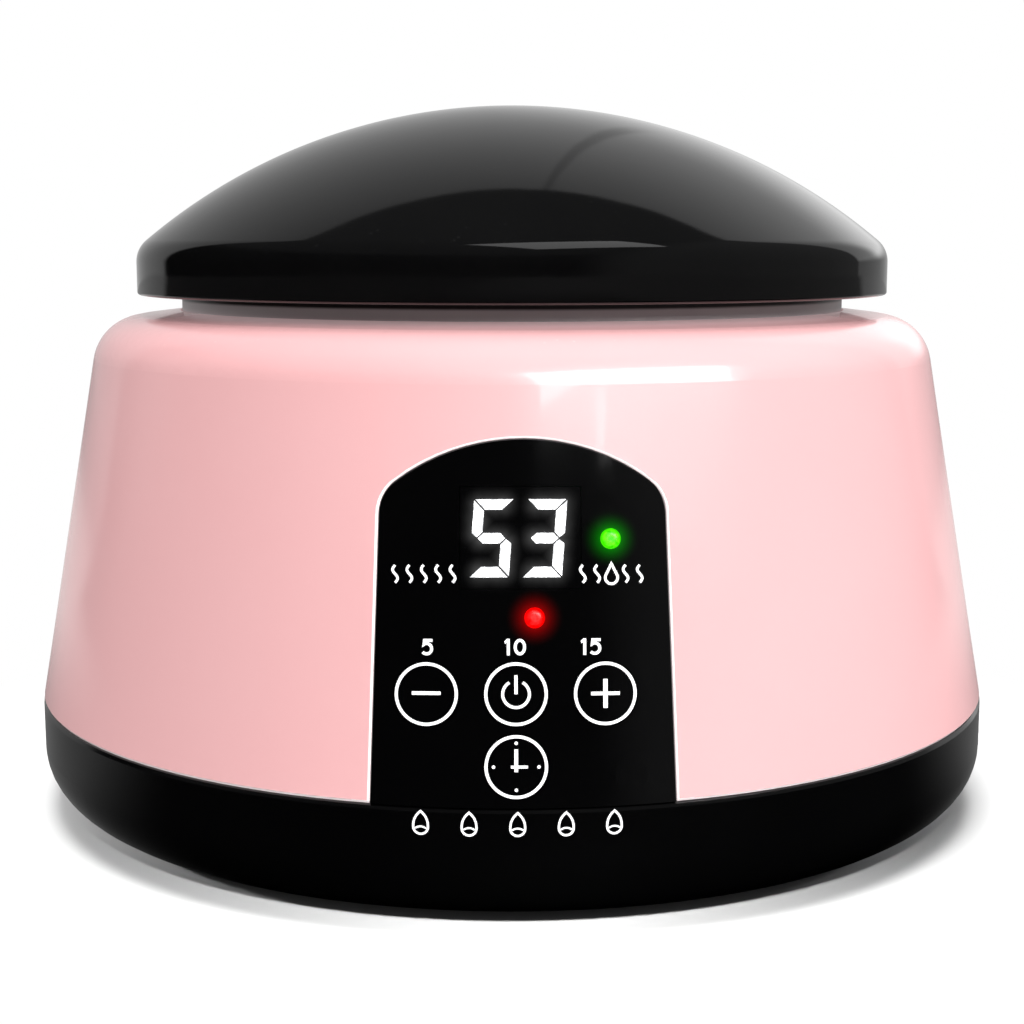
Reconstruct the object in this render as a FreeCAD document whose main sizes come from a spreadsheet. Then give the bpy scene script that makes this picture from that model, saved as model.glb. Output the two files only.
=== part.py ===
import FreeCAD
import Part
import Sketcher
import math
import os
import re

# Gel polish remover: a round steamer with a lift-off dome lid, an arched control panel and a
# removable bowl and finger tray over a small electric heater. Millimetres and degrees, +Z up,
# origin on the table under the centre of the housing, control panel towards -Y.

os.makedirs("parts", exist_ok=True)
doc = FreeCAD.newDocument("polish_remover")
sheet = doc.addObject("Spreadsheet::Sheet", "dim")

driving = {
    # housing
    "foot_height": 2.0,
    "base_height": 20.0,
    "seam_radius": 95.0,
    "wall_slope": 10.0,
    "body_rise": 75.7,
    "deck_slope": 7.0,
    "shoulder_radius": 10.0,
    "shell_wall": 2.4,
    "seam_gap": 0.3,
    "seam_bevel": 0.5,
    "cut_margin": 1.0,
    "front_reach": 10.0,
    "lip_height": 4.0,
    "lip_wall": 1.6,
    "lip_gap": 0.25,
    "base_edge_radius": 11.0,
    "base_wall": 2.4,
    # tub with its collar
    "collar_share": 0.6947,
    "collar_wall": 2.8,
    "collar_rise": 6.3,
    "collar_gap": 0.4,
    "tray_ledge_drop": 8.0,
    "tray_ledge_width": 2.8,
    "bowl_ledge_drop": 10.0,
    "bowl_ledge_width": 2.9,
    "tub_wall": 2.4,
    "tub_floor_share": 0.8696,
    "tub_floor_height": 34.0,
    "lug_count": 4,
    "lug_width": 9.0,
    "lug_thickness": 2.4,
    "lug_drop": 8.6,
    # lid
    "lid_overhang": 8.6,
    "lid_clear": 3.0,
    "lid_rise": 36.9,
    "lid_rim_height": 8.8,
    "lid_wall": 2.2,
    "lid_shoulder_radius": 4.0,
    "lid_lower_round": 0.8,
    "liner_thickness": 2.0,
    "liner_gap": 0.5,
    "seal_height": 1.4,
    "seal_width": 2.2,
    "seat_gap": 0.3,
    "skirt_wall": 2.0,
    "skirt_height": 6.0,
    "skirt_gap": 0.6,
    "lid_boss_count": 4,
    "lid_boss_inset": 8.6,
    "lid_boss_radius": 3.6,
    # finger tray and mat
    "tray_gap": 0.4,
    "tray_thickness": 2.4,
    "slot_angle": 36.0,
    "slot_radius": 8.0,
    "slot_run": 10.0,
    "slot_margin": 3.8,
    "slot_lip": 1.8,
    "slot_lip_rise": 1.4,
    "mat_thickness": 1.6,
    "mat_gap": 1.6,
    "mat_slot_inset": 2.0,
    "grip_length": 26.0,
    "grip_width": 5.0,
    "grip_rise": 4.6,
    "grip_place": 26.0,
    "grip_round": 1.25,
    # steam bowl and heater
    "bowl_wall": 1.2,
    "bowl_foot_round": 4.8,
    "bowl_foot_inset": 0.5,
    "bowl_rim_inset": 3.0,
    "bowl_rim_gap": 0.6,
    "plate_thickness": 5.5,
    "plate_flange": 6.5,
    "plate_rim_clear": 1.2,
    "plate_flange_thickness": 1.6,
    "plate_gap": 0.4,
    "gasket_thickness": 1.0,
    "gasket_gap": 0.4,
    "ptc_length": 60.0,
    "ptc_width": 24.0,
    "ptc_thickness": 5.5,
    "clamp_thickness": 1.5,
    "clamp_width": 12.0,
    "clamp_hole_inset": 2.0,
    "clamp_boss_radius": 3.8,
    "thermostat_radius": 8.0,
    "thermostat_height": 8.0,
    "thermostat_place": 26.0,
    "thermostat_ear": 12.0,
    "ear_hole_depth": 3.85,
    "ear_margin": 3.0,
    "ear_half_width": 4.0,
    "sensor_place": 26.0,
    "sensor_radius": 3.0,
    "sensor_height": 6.0,
    "fuse_radius": 1.9,
    "fuse_length": 11.0,
    "fuse_gap": 3.0,
    # arched control panel
    "panel_half_width": 24.6,
    "panel_half_top": 22.7,
    "panel_top": 58.0,
    "panel_crown_radius": 33.5,
    "panel_corner_radius": 7.0,
    "panel_recess": 0.25,
    "panel_gap": 0.15,
    "panel_thickness": 3.6,
    "rebate_depth": 2.6,
    "rebate_reach": 3.0,
    "arch_bevel": 0.4,
    # keys: places across (u) and up (v) the panel
    "key_radius": 5.05,
    "key_gap": 0.25,
    "key_travel": 0.6,
    "key_stop_radius": 5.65,
    "key_stop_depth": 6.4,
    "key_stop_thickness": 1.0,
    "sleeve_wall": 1.0,
    "key_row_shift": -1.2,
    "key_pitch": 14.25,
    "key_row_v": 18.4,
    "timer_drop": 11.5,
    "plunger_radius": 1.7,
    "plunger_gap": 0.08,
    "plunger_depth": 0.5,
    "plunger_room": 0.2,
    "switch_size": 6.0,
    "switch_height": 3.4,
    # display and lamps
    "window_width": 19.4,
    "window_height": 16.4,
    "window_u": -0.4,
    "window_v": 43.2,
    "window_thickness": 2.0,
    "window_gap": 0.1,
    "display_width": 18.4,
    "display_height": 15.4,
    "display_depth": 3.4,
    "led_radius": 1.5,
    "led_gap": 0.15,
    "led_flange_radius": 1.95,
    "led_flange_height": 1.0,
    "led_tip_round": 0.9,
    "led_length": 5.3,
    "led_spacer_radius": 2.4,
    "green_u": 14.0,
    "green_v": 43.0,
    "red_u": 1.8,
    "red_v": 30.45,
    # control board
    "board_depth": 12.0,
    "board_thickness": 1.6,
    "board_half_width": 20.5,
    "board_low": 2.0,
    "board_high": 53.5,
    "post_u": 17.2,
    "post_low": 5.5,
    "post_high": 50.2,
    "post_radius": 2.6,
    "post_hole_depth": 6.4,
    # screws
    "screw_radius": 1.5,
    "screw_head_radius": 2.8,
    "screw_head_height": 1.8,
    "screw_length": 8.0,
    "screw_tip_gap": 1.0,
    "drive_radius": 1.17,
    "drive_depth": 1.2,
    "screw_grip": 0.02,
    "hole_gap": 0.2,
    # base
    "base_screw_inset": 15.0,
    "base_screw_count": 4,
    "corner_angle": 45.0,
    "tower_radius": 4.6,
    "shell_boss_radius": 4.4,
    "shell_boss_rise": 16.0,
    "rib_thickness": 2.0,
    "head_recess": 14.0,
    "foot_radius": 6.5,
    "foot_inset": 31.0,
    "foot_count": 4,
    "foot_recess": 1.0,
    "vent_count": 16,
    "vent_width": 3.0,
    "vent_near": 30.0,
    "vent_far": 46.0,
    # power board
    "pcb_width": 84.0,
    "pcb_depth": 50.0,
    "pcb_gap": 10.0,
    "pcb_thickness": 1.6,
    "standoff_height": 4.5,
    "standoff_radius": 3.2,
    "standoff_inset": 4.0,
    "transformer_width": 30.0,
    "transformer_depth": 24.0,
    "transformer_height": 16.0,
    "relay_width": 19.0,
    "relay_depth": 15.0,
    "relay_height": 15.0,
    "cap_radius": 5.0,
    "cap_height": 13.0,
    "block_width": 20.0,
    "block_depth": 9.0,
    "block_height": 10.0,
    "part_margin": 1.0,
    # power inlet at the back
    "inlet_width": 21.0,
    "inlet_height": 9.0,
    "inlet_depth": 14.0,
    "inlet_rise": 13.2,
    "inlet_flange_width": 25.0,
    "inlet_flange_height": 11.6,
    "inlet_flange_thickness": 1.6,
    "inlet_pad_depth": 3.2,
    "inlet_flat_drop": 3.0,
    "socket_width": 16.8,
    "socket_height": 7.2,
    "socket_depth": 10.0,
    "pin_radius": 1.2,
    "pin_pitch": 8.6,
    "pin_length": 7.5,
    # leads
    "lead_radius": 1.1,
    "lead_bend": 3.0,
    "lead_pitch": 4.0,
    "lead_clear": 1.0,
    "heater_lead_reach": 5.0,
    "heater_lead_landing": 11.0,
    "ribbon_width": 12.0,
    "ribbon_thickness": 1.0,
    "ribbon_start": 9.0,
    "ribbon_run": 6.0,
    "ribbon_drop": 64.0,
    "ribbon_landing": 6.0,
}

derived = {
    "seam_height": "foot_height + base_height",
    "shell_foot": "seam_height + seam_gap",
    "deck_height": "seam_height + body_rise",
    "slant_wall": "shell_wall / cos(wall_slope)",
    "deck_wall": "shell_wall / cos(deck_slope)",
    "collar_radius": "seam_radius * collar_share",
    "deck_hole": "collar_radius + collar_gap",
    "corner_height": "(deck_height + tan(deck_slope) * (collar_radius - seam_radius"
                     " - seam_height * tan(wall_slope))) / (1 - tan(deck_slope) * tan(wall_slope))",
    "corner_radius": "seam_radius - (corner_height - seam_height) * tan(wall_slope)",
    "inner_corner_height": "(deck_height - deck_wall + tan(deck_slope) * (collar_radius + slant_wall"
                           " - seam_radius - seam_height * tan(wall_slope)))"
                           " / (1 - tan(deck_slope) * tan(wall_slope))",
    "inner_corner_radius": "seam_radius - slant_wall"
                           " - (inner_corner_height - seam_height) * tan(wall_slope)",
    "lug_circle": "(deck_hole + tub_wall + inner_corner_radius) / 2",
    "deck_hole_height": "deck_height - (deck_hole - collar_radius) * tan(deck_slope)",
    "shell_inner_radius": "seam_radius - slant_wall - seam_gap * tan(wall_slope)",
    "lip_top": "seam_height + lip_height",
    "lip_radius": "seam_radius - slant_wall - lip_gap",
    "lip_top_radius": "lip_radius - lip_height * tan(wall_slope)",
    "base_floor": "foot_height + base_wall",
    "base_inner_radius": "seam_radius - base_wall",
    "collar_top": "deck_height + collar_rise",
    "collar_inner": "collar_radius - collar_wall",
    "tray_ledge": "collar_top - tray_ledge_drop",
    "tray_ledge_inner": "collar_inner - tray_ledge_width",
    "bowl_ledge": "tray_ledge - bowl_ledge_drop",
    "bowl_ledge_inner": "tray_ledge_inner - bowl_ledge_width",
    "tub_floor_radius": "bowl_ledge_inner * tub_floor_share",
    "tub_floor_top": "tub_floor_height + tub_wall",
    "lug_top": "deck_height - deck_wall - lug_drop - (lug_circle - collar_radius) * tan(deck_slope)",
    "lug_low": "lug_top - lug_thickness",
    "lid_bottom": "deck_height + lid_clear",
    "lid_top": "lid_bottom + lid_rise",
    "lid_radius": "collar_radius + lid_overhang",
    "dome_rise": "lid_rise - lid_rim_height",
    "dome_radius": "(lid_radius^2 + dome_rise^2) / (2 * dome_rise)",
    "dome_centre": "lid_top - dome_radius",
    "dome_edge": "lid_bottom + lid_rim_height",
    "lid_inner": "lid_radius - lid_wall",
    "inner_dome_radius": "dome_radius - lid_wall",
    "inner_dome_edge": "dome_centre + sqrt(inner_dome_radius^2 - lid_inner^2)",
    "liner_low": "collar_top + seat_gap + seal_height",
    "liner_top": "liner_low + liner_thickness",
    "liner_radius": "lid_inner - liner_gap",
    "skirt_outer": "collar_inner - skirt_gap",
    "skirt_inner": "skirt_outer - skirt_wall",
    "lid_boss_circle": "skirt_inner - lid_boss_inset",
    "seal_low": "collar_top + seat_gap",
    "seal_outer": "collar_inner + collar_wall / 2 + seal_width / 2",
    "tray_low": "tray_ledge + seat_gap",
    "tray_top": "tray_low + tray_thickness",
    "tray_radius": "collar_inner - tray_gap",
    "mat_radius": "tray_ledge_inner - mat_gap",
    "mat_low": "tray_low - mat_thickness",
    "slot_far": "mat_radius - slot_radius - slot_margin",
    "slot_near": "slot_far - slot_run",
    "plate_step": "tub_floor_height - gasket_thickness",
    "plate_low": "plate_step - plate_flange_thickness",
    "plate_top": "plate_low + plate_thickness",
    "clamp_hole_place": "tub_floor_radius - clamp_hole_inset",
    "plate_rim": "clamp_hole_place - clamp_boss_radius - plate_rim_clear",
    "plate_radius": "plate_rim - plate_flange",
    "floor_hole": "plate_radius + plate_gap",
    "bowl_floor_radius": "plate_radius - bowl_foot_inset",
    "bowl_rim_inner": "bowl_ledge_inner - bowl_rim_inset",
    "bowl_rim_low": "bowl_ledge + seat_gap",
    "bowl_rim_radius": "tray_ledge_inner - bowl_rim_gap",
    "ptc_low": "plate_low - ptc_thickness",
    "clamp_low": "ptc_low - clamp_thickness",
    "panel_low": "shell_foot",
    "panel_back": "panel_recess + panel_thickness",
    "timer_v": "key_row_v - timer_drop",
    "power_u": "key_row_shift",
    "minus_u": "key_row_shift - key_pitch",
    "plus_u": "key_row_shift + key_pitch",
    "sleeve_radius": "key_radius + key_gap",
    "switch_top": "board_depth - switch_height",
    "plunger_tip": "switch_top + plunger_depth",
    "plunger_bore": "plunger_tip + key_travel + plunger_room",
    "board_back": "board_depth + board_thickness",
    "pcb_low": "base_floor + standoff_height",
    "pcb_top": "pcb_low + pcb_thickness",
    "pcb_half": "pcb_width / 2",
    "tower_top": "seam_height + lip_height",
    "boss_wall_radius": "seam_radius - slant_wall"
                        " - (tower_top + shell_boss_rise - seam_height) * tan(wall_slope)",
    "base_screw_circle": "seam_radius - base_screw_inset",
    "foot_circle": "seam_radius - foot_inset",
    "head_seat": "foot_height + head_recess",
    "inlet_flat": "seam_radius - inlet_flat_drop",
    "inlet_z": "foot_height + inlet_rise",
    "inlet_pad_inner": "inlet_flat - inlet_pad_depth",
    "inlet_back": "inlet_flat - inlet_depth",
    "pcb_back": "inlet_back - pcb_gap",
    "pcb_front": "pcb_back - pcb_depth",
}

row = 0
for alias, value in driving.items():
    row += 1
    sheet.set(f"A{row}", alias)
    sheet.set(f"B{row}", str(value))
    sheet.setAlias(f"B{row}", alias)
for alias, formula in derived.items():
    row += 1
    sheet.set(f"A{row}", alias)
    sheet.set(f"B{row}", "=" + formula)
    sheet.setAlias(f"B{row}", alias)
doc.recompute()


def size(text):
    """Value of an expression over the sheet's sizes."""
    return float(sheet.evalExpression(str(text)))


def bound(text):
    """The same expression as another object of the document reads it."""
    return re.sub(r"\b[a-z]+(_[a-z]+)+\b", r"dim.\g<0>", str(text))


def bind(thing, prop, text):
    thing.setExpression(prop, bound(text))


# --- the panel's own frame: u across, v up the slope, w out of the face -------------------

panel_frame = doc.addObject("App::Placement", "panel_frame")
panel_frame.Placement.Rotation = FreeCAD.Rotation(FreeCAD.Vector(1, 0, 0), 90)
bind(panel_frame, "Placement.Base.y", "-seam_radius")
bind(panel_frame, "Placement.Base.z", "seam_height")
bind(panel_frame, "Placement.Rotation.Angle", "(90 - wall_slope) * 1 deg")
doc.recompute()

nodes = []
edge_tolerance = 0.02


def node(shape_object, name):
    """Mark an object as a finished sub-part."""
    shape_object.Label = name
    nodes.append(shape_object)
    return shape_object


def new_body(name, on_panel=False):
    body = doc.addObject("PartDesign::Body", name + "_body")
    body.AllowCompound = True
    if on_panel:
        body.setExpression("Placement", "panel_frame.Placement")
    return body


def origin_part(body, role):
    return next(item for item in body.Origin.OriginFeatures if item.Role == role)


def new_sketch(body, plane="XZ_Plane", lift=0):
    sketch = body.newObject("Sketcher::SketchObject", body.Name + "_sketch")
    sketch.AttachmentSupport = [(origin_part(body, plane), "")]
    sketch.MapMode = "FlatFace"
    bind(sketch, "AttachmentOffset.Base.z", lift)
    return sketch


def fix(sketch, kind, *where, value):
    """Add one dimension to a sketch, bound to the sheet."""
    place = sketch.addConstraint(Sketcher.Constraint(kind, *where, size(value)))
    bind(sketch, f"Constraints[{place}]", value)


def fix_point(sketch, geometry, end, x, y):
    if str(x) == "0":
        sketch.addConstraint(Sketcher.Constraint("PointOnObject", geometry, end, -2))
    else:
        fix(sketch, "DistanceX", -1, 1, geometry, end, value=x)
    if str(y) == "0":
        sketch.addConstraint(Sketcher.Constraint("PointOnObject", geometry, end, -1))
    else:
        fix(sketch, "DistanceY", -1, 1, geometry, end, value=y)


def bent(start, end, radius):
    """Arc from start to end; a positive radius bends anticlockwise, a negative one clockwise."""
    half = (end - start) * 0.5
    reach = math.sqrt(max(radius * radius - half.Length ** 2, 0.0))
    normal = FreeCAD.Vector(-half.y, half.x, 0).normalize()
    centre = start + half + normal * math.copysign(reach, radius)
    first, last = (start, end) if radius > 0 else (end, start)
    low = math.atan2(first.y - centre.y, first.x - centre.x)
    high = math.atan2(last.y - centre.y, last.x - centre.x)
    circle = Part.Circle(centre, FreeCAD.Vector(0, 0, 1), abs(radius))
    return Part.ArcOfCircle(circle, low, high)


def outline(sketch, corners):
    """Closed outline; a corner's third entry is the radius of the run that leaves it."""
    spots = [FreeCAD.Vector(size(c[0]), size(c[1]), 0) for c in corners]
    ends = []
    for index, corner in enumerate(corners):
        start = spots[index]
        end = spots[(index + 1) % len(spots)]
        if len(corner) == 2:
            run = sketch.addGeometry(Part.LineSegment(start, end), False)
            ends.append((run, 1, 2))
            continue
        radius = (end - start).Length / 2 if corner[2] == "round" else size(corner[2])
        run = sketch.addGeometry(bent(start, end, radius), False)
        ends.append((run, 1, 2) if radius > 0 else (run, 2, 1))
    for index, corner in enumerate(corners):
        run, start, end = ends[index]
        after, after_start, _ = ends[(index + 1) % len(ends)]
        sketch.addConstraint(Sketcher.Constraint("Coincident", run, end, after, after_start))
        fix_point(sketch, run, start, corner[0], corner[1])
        if len(corner) == 3 and corner[2] == "round":
            fix_round_end(sketch, run, corner, corners[(index + 1) % len(corners)])
        elif len(corner) == 3:
            fix(sketch, "Radius", run, value=corner[2].lstrip("-"))


def fix_round_end(sketch, run, corner, following):
    """Hold the centre of a half circle midway between its two ends."""
    steep = abs(size(f"({following[0]}) - ({corner[0]})")) > abs(
        size(f"({following[1]}) - ({corner[1]})"))
    axis = 1 if steep else 0
    middle = f"(({corner[axis]}) + ({following[axis]})) / 2"
    fix(sketch, "DistanceY" if steep else "DistanceX", -1, 1, run, 3, value=middle)


def circles(sketch, spots, radius):
    for x, y in spots:
        centre = FreeCAD.Vector(size(x), size(y), 0)
        ring = sketch.addGeometry(Part.Circle(centre, FreeCAD.Vector(0, 0, 1), size(radius)), False)
        fix_point(sketch, ring, 3, x, y)
        fix(sketch, "Radius", ring, value=radius)


def box_corners(x_low, x_high, y_low, y_high):
    return [(x_low, y_low), (x_high, y_low), (x_high, y_high), (x_low, y_high)]


def turned(body, corners, kind="Revolution"):
    """Solid of revolution about the vertical axis, or a groove in the body."""
    sketch = new_sketch(body)
    outline(sketch, corners)
    feature = body.newObject("PartDesign::" + kind, body.Name + "_" + kind.lower())
    feature.Profile = sketch
    feature.ReferenceAxis = (sketch, ["V_Axis"])
    feature.Angle = 360
    body.Tip = feature
    return feature


def raise_sketch(body, sketch, low, high):
    feature = body.newObject("PartDesign::Pad", body.Name + "_pad")
    feature.Profile = sketch
    bind(feature, "Length", f"({high}) - ({low})")
    body.Tip = feature
    return feature


def cut_sketch(body, sketch, low, high):
    feature = body.newObject("PartDesign::Pocket", body.Name + "_pocket")
    feature.Profile = sketch
    bind(feature, "Length", f"({high}) - ({low})")
    body.Tip = feature
    return feature


def posts(body, spots, radius, low, high):
    """Round posts from one level to the next."""
    sketch = new_sketch(body, "XY_Plane", low)
    circles(sketch, spots, radius)
    return raise_sketch(body, sketch, low, high)


def holes(body, spots, radius, low, high):
    sketch = new_sketch(body, "XY_Plane", high)
    circles(sketch, spots, radius)
    return cut_sketch(body, sketch, low, high)


def plate(body, corners, low, high):
    sketch = new_sketch(body, "XY_Plane", low)
    outline(sketch, corners)
    return raise_sketch(body, sketch, low, high)


def opening(body, corners, low, high):
    sketch = new_sketch(body, "XY_Plane", high)
    outline(sketch, corners)
    return cut_sketch(body, sketch, low, high)


def ring_of(body, features, count):
    """Repeat features evenly about the vertical axis."""
    doc.recompute()
    pattern = body.newObject("PartDesign::PolarPattern", body.Name + "_ring")
    pattern.Originals = features
    pattern.Axis = (origin_part(body, "Z_Axis"), [""])
    pattern.Angle = 360
    bind(pattern, "Occurrences", count)
    body.Tip = pattern
    return pattern


def finish_edges(body, kind, amount, wanted):
    """Fillet or chamfer the edges of the tip that the test picks."""
    doc.recompute()
    base = body.Tip
    names = [f"Edge{i}" for i, edge in enumerate(base.Shape.Edges, 1)
             if not edge.Degenerated and wanted(edge)]
    feature = body.newObject("PartDesign::" + kind, body.Name + "_" + kind.lower())
    feature.Base = (base, names)
    bind(feature, "Radius" if kind == "Fillet" else "Size", amount)
    body.Tip = feature
    return feature


def ring_edge(radius, height):
    """Test for the circular edge about the axis at a radius and height."""
    wanted_radius = size(radius)
    wanted_height = size(height)

    def test(edge):
        curve = edge.Curve
        if not isinstance(curve, Part.Circle):
            return False
        near_axis = math.hypot(curve.Center.x, curve.Center.y) < edge_tolerance
        at_height = abs(curve.Center.z - wanted_height) < edge_tolerance
        return near_axis and at_height and abs(curve.Radius - wanted_radius) < edge_tolerance

    return test


def around(radius, angle):
    """Place on a circle, as two expressions."""
    return (f"({radius}) * cos({angle})", f"({radius}) * sin({angle})")


def turned_about(corners, angle):
    """The same outline turned about the axis by an angle."""
    result = []
    for corner in corners:
        x, y = corner[0], corner[1]
        place = (f"({x}) * cos({angle}) - ({y}) * sin({angle})",
                 f"({x}) * sin({angle}) + ({y}) * cos({angle})")
        result.append(place + tuple(corner[2:]))
    return result


def screws(name, spots, head, direction, length="screw_length", on_panel=False, count=None):
    """Pan-head screws; direction +1 has the shank above the head seat, -1 below it."""
    body = new_body(name, on_panel)
    if direction > 0:
        parts = [posts(body, spots, "screw_head_radius", f"{head} - screw_head_height", head)]
        parts.append(posts(body, spots, "screw_radius", head, f"{head} + {length}"))
        drive_low = f"{head} - screw_head_height"
    else:
        parts = [posts(body, spots, "screw_head_radius", head, f"{head} + screw_head_height")]
        parts.append(posts(body, spots, "screw_radius", f"{head} - ({length})", head))
        drive_low = f"{head} + screw_head_height - drive_depth"
    parts.append(holes(body, spots, "drive_radius", drive_low, f"{drive_low} + drive_depth"))
    if count:
        ring_of(body, parts, count)
    return node(body, name)


# --- housing ------------------------------------------------------------------------------

def arch(sketch, spread, low):
    """Arched outline: leaning sides, two corner arcs and a flat crown arc."""
    half = f"(panel_half_width + {spread})"
    half_top = f"(panel_half_top + {spread})"
    top = f"(seam_height + panel_top + {spread})"
    crown = f"(panel_crown_radius + {spread})"
    corner = f"(panel_corner_radius + {spread})"
    wide, high, big, small = size(half_top), size(top), size(crown), size(corner)
    reach = wide - small
    centre_low = high - big + math.sqrt((big - small) ** 2 - reach ** 2)
    turn = math.atan2(centre_low - (high - big), reach)
    up = FreeCAD.Vector(0, 0, 1)
    foot = [FreeCAD.Vector(-size(half), size(low), 0), FreeCAD.Vector(size(half), size(low), 0)]
    right = Part.Circle(FreeCAD.Vector(reach, centre_low, 0), up, small)
    left = Part.Circle(FreeCAD.Vector(-reach, centre_low, 0), up, small)
    crest = Part.Circle(FreeCAD.Vector(0, high - big, 0), up, big)
    runs = [
        Part.LineSegment(foot[0], foot[1]),
        Part.LineSegment(foot[1], FreeCAD.Vector(wide, centre_low, 0)),
        Part.ArcOfCircle(right, 0, turn),
        Part.ArcOfCircle(crest, turn, math.pi - turn),
        Part.ArcOfCircle(left, math.pi - turn, math.pi),
        Part.LineSegment(FreeCAD.Vector(-wide, centre_low, 0), foot[0]),
    ]
    first = sketch.addGeometry(runs, False)[0]
    bottom, right_side, right_arc, crown_arc, left_arc, left_side = range(first, first + 6)
    guides = sketch.addGeometry([Part.Point(FreeCAD.Vector(wide, high, 0)),
                                 Part.Point(FreeCAD.Vector(-wide, high, 0))], True)
    add = sketch.addConstraint
    add(Sketcher.Constraint("Coincident", bottom, 2, right_side, 1))
    add(Sketcher.Constraint("Coincident", left_side, 2, bottom, 1))
    fix_point(sketch, guides[0], 1, half_top, top)
    fix_point(sketch, guides[1], 1, "-" + half_top, top)
    add(Sketcher.Constraint("PointOnObject", guides[0], 1, right_side))
    add(Sketcher.Constraint("PointOnObject", guides[1], 1, left_side))
    fix_point(sketch, bottom, 1, "-" + half, low)
    fix_point(sketch, bottom, 2, half, low)
    chain = [right_side, right_arc, crown_arc, left_arc, left_side]
    for before, after in zip(chain, chain[1:]):
        add(Sketcher.Constraint("Tangent", before, 2, after, 1))
    fix(sketch, "Radius", right_arc, value=corner)
    fix(sketch, "Radius", left_arc, value=corner)
    fix(sketch, "Radius", crown_arc, value=crown)
    fix_point(sketch, crown_arc, 3, "0", f"{top} - {crown}")


def upper_shell():
    """Glossy conical housing with a rounded shoulder, a nearly flat deck and an arched opening."""
    body = new_body("upper_shell")
    turned(body, [
        ("seam_radius - seam_gap * tan(wall_slope) - seam_bevel", "shell_foot"),
        ("seam_radius - (seam_gap + seam_bevel) * tan(wall_slope)", "shell_foot + seam_bevel"),
        ("corner_radius", "corner_height"),
        ("deck_hole", "deck_hole_height"),
        ("deck_hole", "deck_hole_height - deck_wall"),
        ("inner_corner_radius", "inner_corner_height"),
        ("shell_inner_radius", "shell_foot"),
    ])
    finish_edges(body, "Fillet", "shoulder_radius", ring_edge("corner_radius", "corner_height"))
    finish_edges(body, "Fillet", "shoulder_radius - shell_wall",
                 ring_edge("inner_corner_radius", "inner_corner_height"))
    sketch = new_sketch(body)
    arch(sketch, "0", "seam_height - seam_gap")
    cut = body.newObject("PartDesign::Pocket", "arch_opening")
    cut.Profile = sketch
    cut.Reversed = True
    bind(cut, "Length", "seam_radius + front_reach")
    body.Tip = cut
    finish_edges(body, "Fillet", "arch_bevel", arch_edge)
    shell_bosses(body)
    deck_bosses(body)
    return node(body, "upper_shell")


def arch_edge(edge):
    """Test for an edge of the arched opening on the outer face of the housing."""
    middle = edge.valueAt((edge.FirstParameter + edge.LastParameter) / 2)
    if middle.y > 0 or abs(middle.x) > size("panel_half_width + cut_margin"):
        return False
    if middle.z < size("shell_foot + 2 * seam_bevel"):
        return False
    if middle.z > size("seam_height + panel_top + cut_margin"):
        return False
    outer = size("seam_radius") - (middle.z - size("seam_height")) * math.tan(
        math.radians(size("wall_slope")))
    return abs(math.hypot(middle.x, middle.y) - outer) < edge_tolerance


def shell_bosses(body):
    """Four screw bosses with ribs inside the wall, over the base's towers."""
    low, high = "tower_top + seam_gap", "tower_top + shell_boss_rise"
    spot = around("base_screw_circle", "corner_angle")
    boss = posts(body, [spot], "shell_boss_radius", low, high)
    sketch = new_sketch(body, "XY_Plane", low)
    near, far = "base_screw_circle", "boss_wall_radius + shell_wall / 2"
    side = "rib_thickness / 2"
    outline(sketch, turned_about(box_corners(near, far, "-" + side, side), "corner_angle"))
    rib = raise_sketch(body, sketch, low, high)
    hole = holes(body, [spot], "screw_radius - screw_grip", low, f"{low} + screw_length")
    ring_of(body, [boss, rib, hole], "base_screw_count")


def deck_bosses(body):
    """Bosses under the deck that the tub's lugs are screwed to."""
    spot = around("lug_circle", 0)
    sketch = new_sketch(body, "XY_Plane", "lug_top")
    circles(sketch, [spot], "shell_boss_radius")
    boss = body.newObject("PartDesign::Pad", "deck_boss")
    boss.Profile = sketch
    boss.Type = "UpToFirst"
    body.Tip = boss
    hole = holes(body, [spot], "screw_radius - screw_grip", "lug_top", "lug_top + screw_length")
    ring_of(body, [boss, hole], "lug_count")


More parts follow.
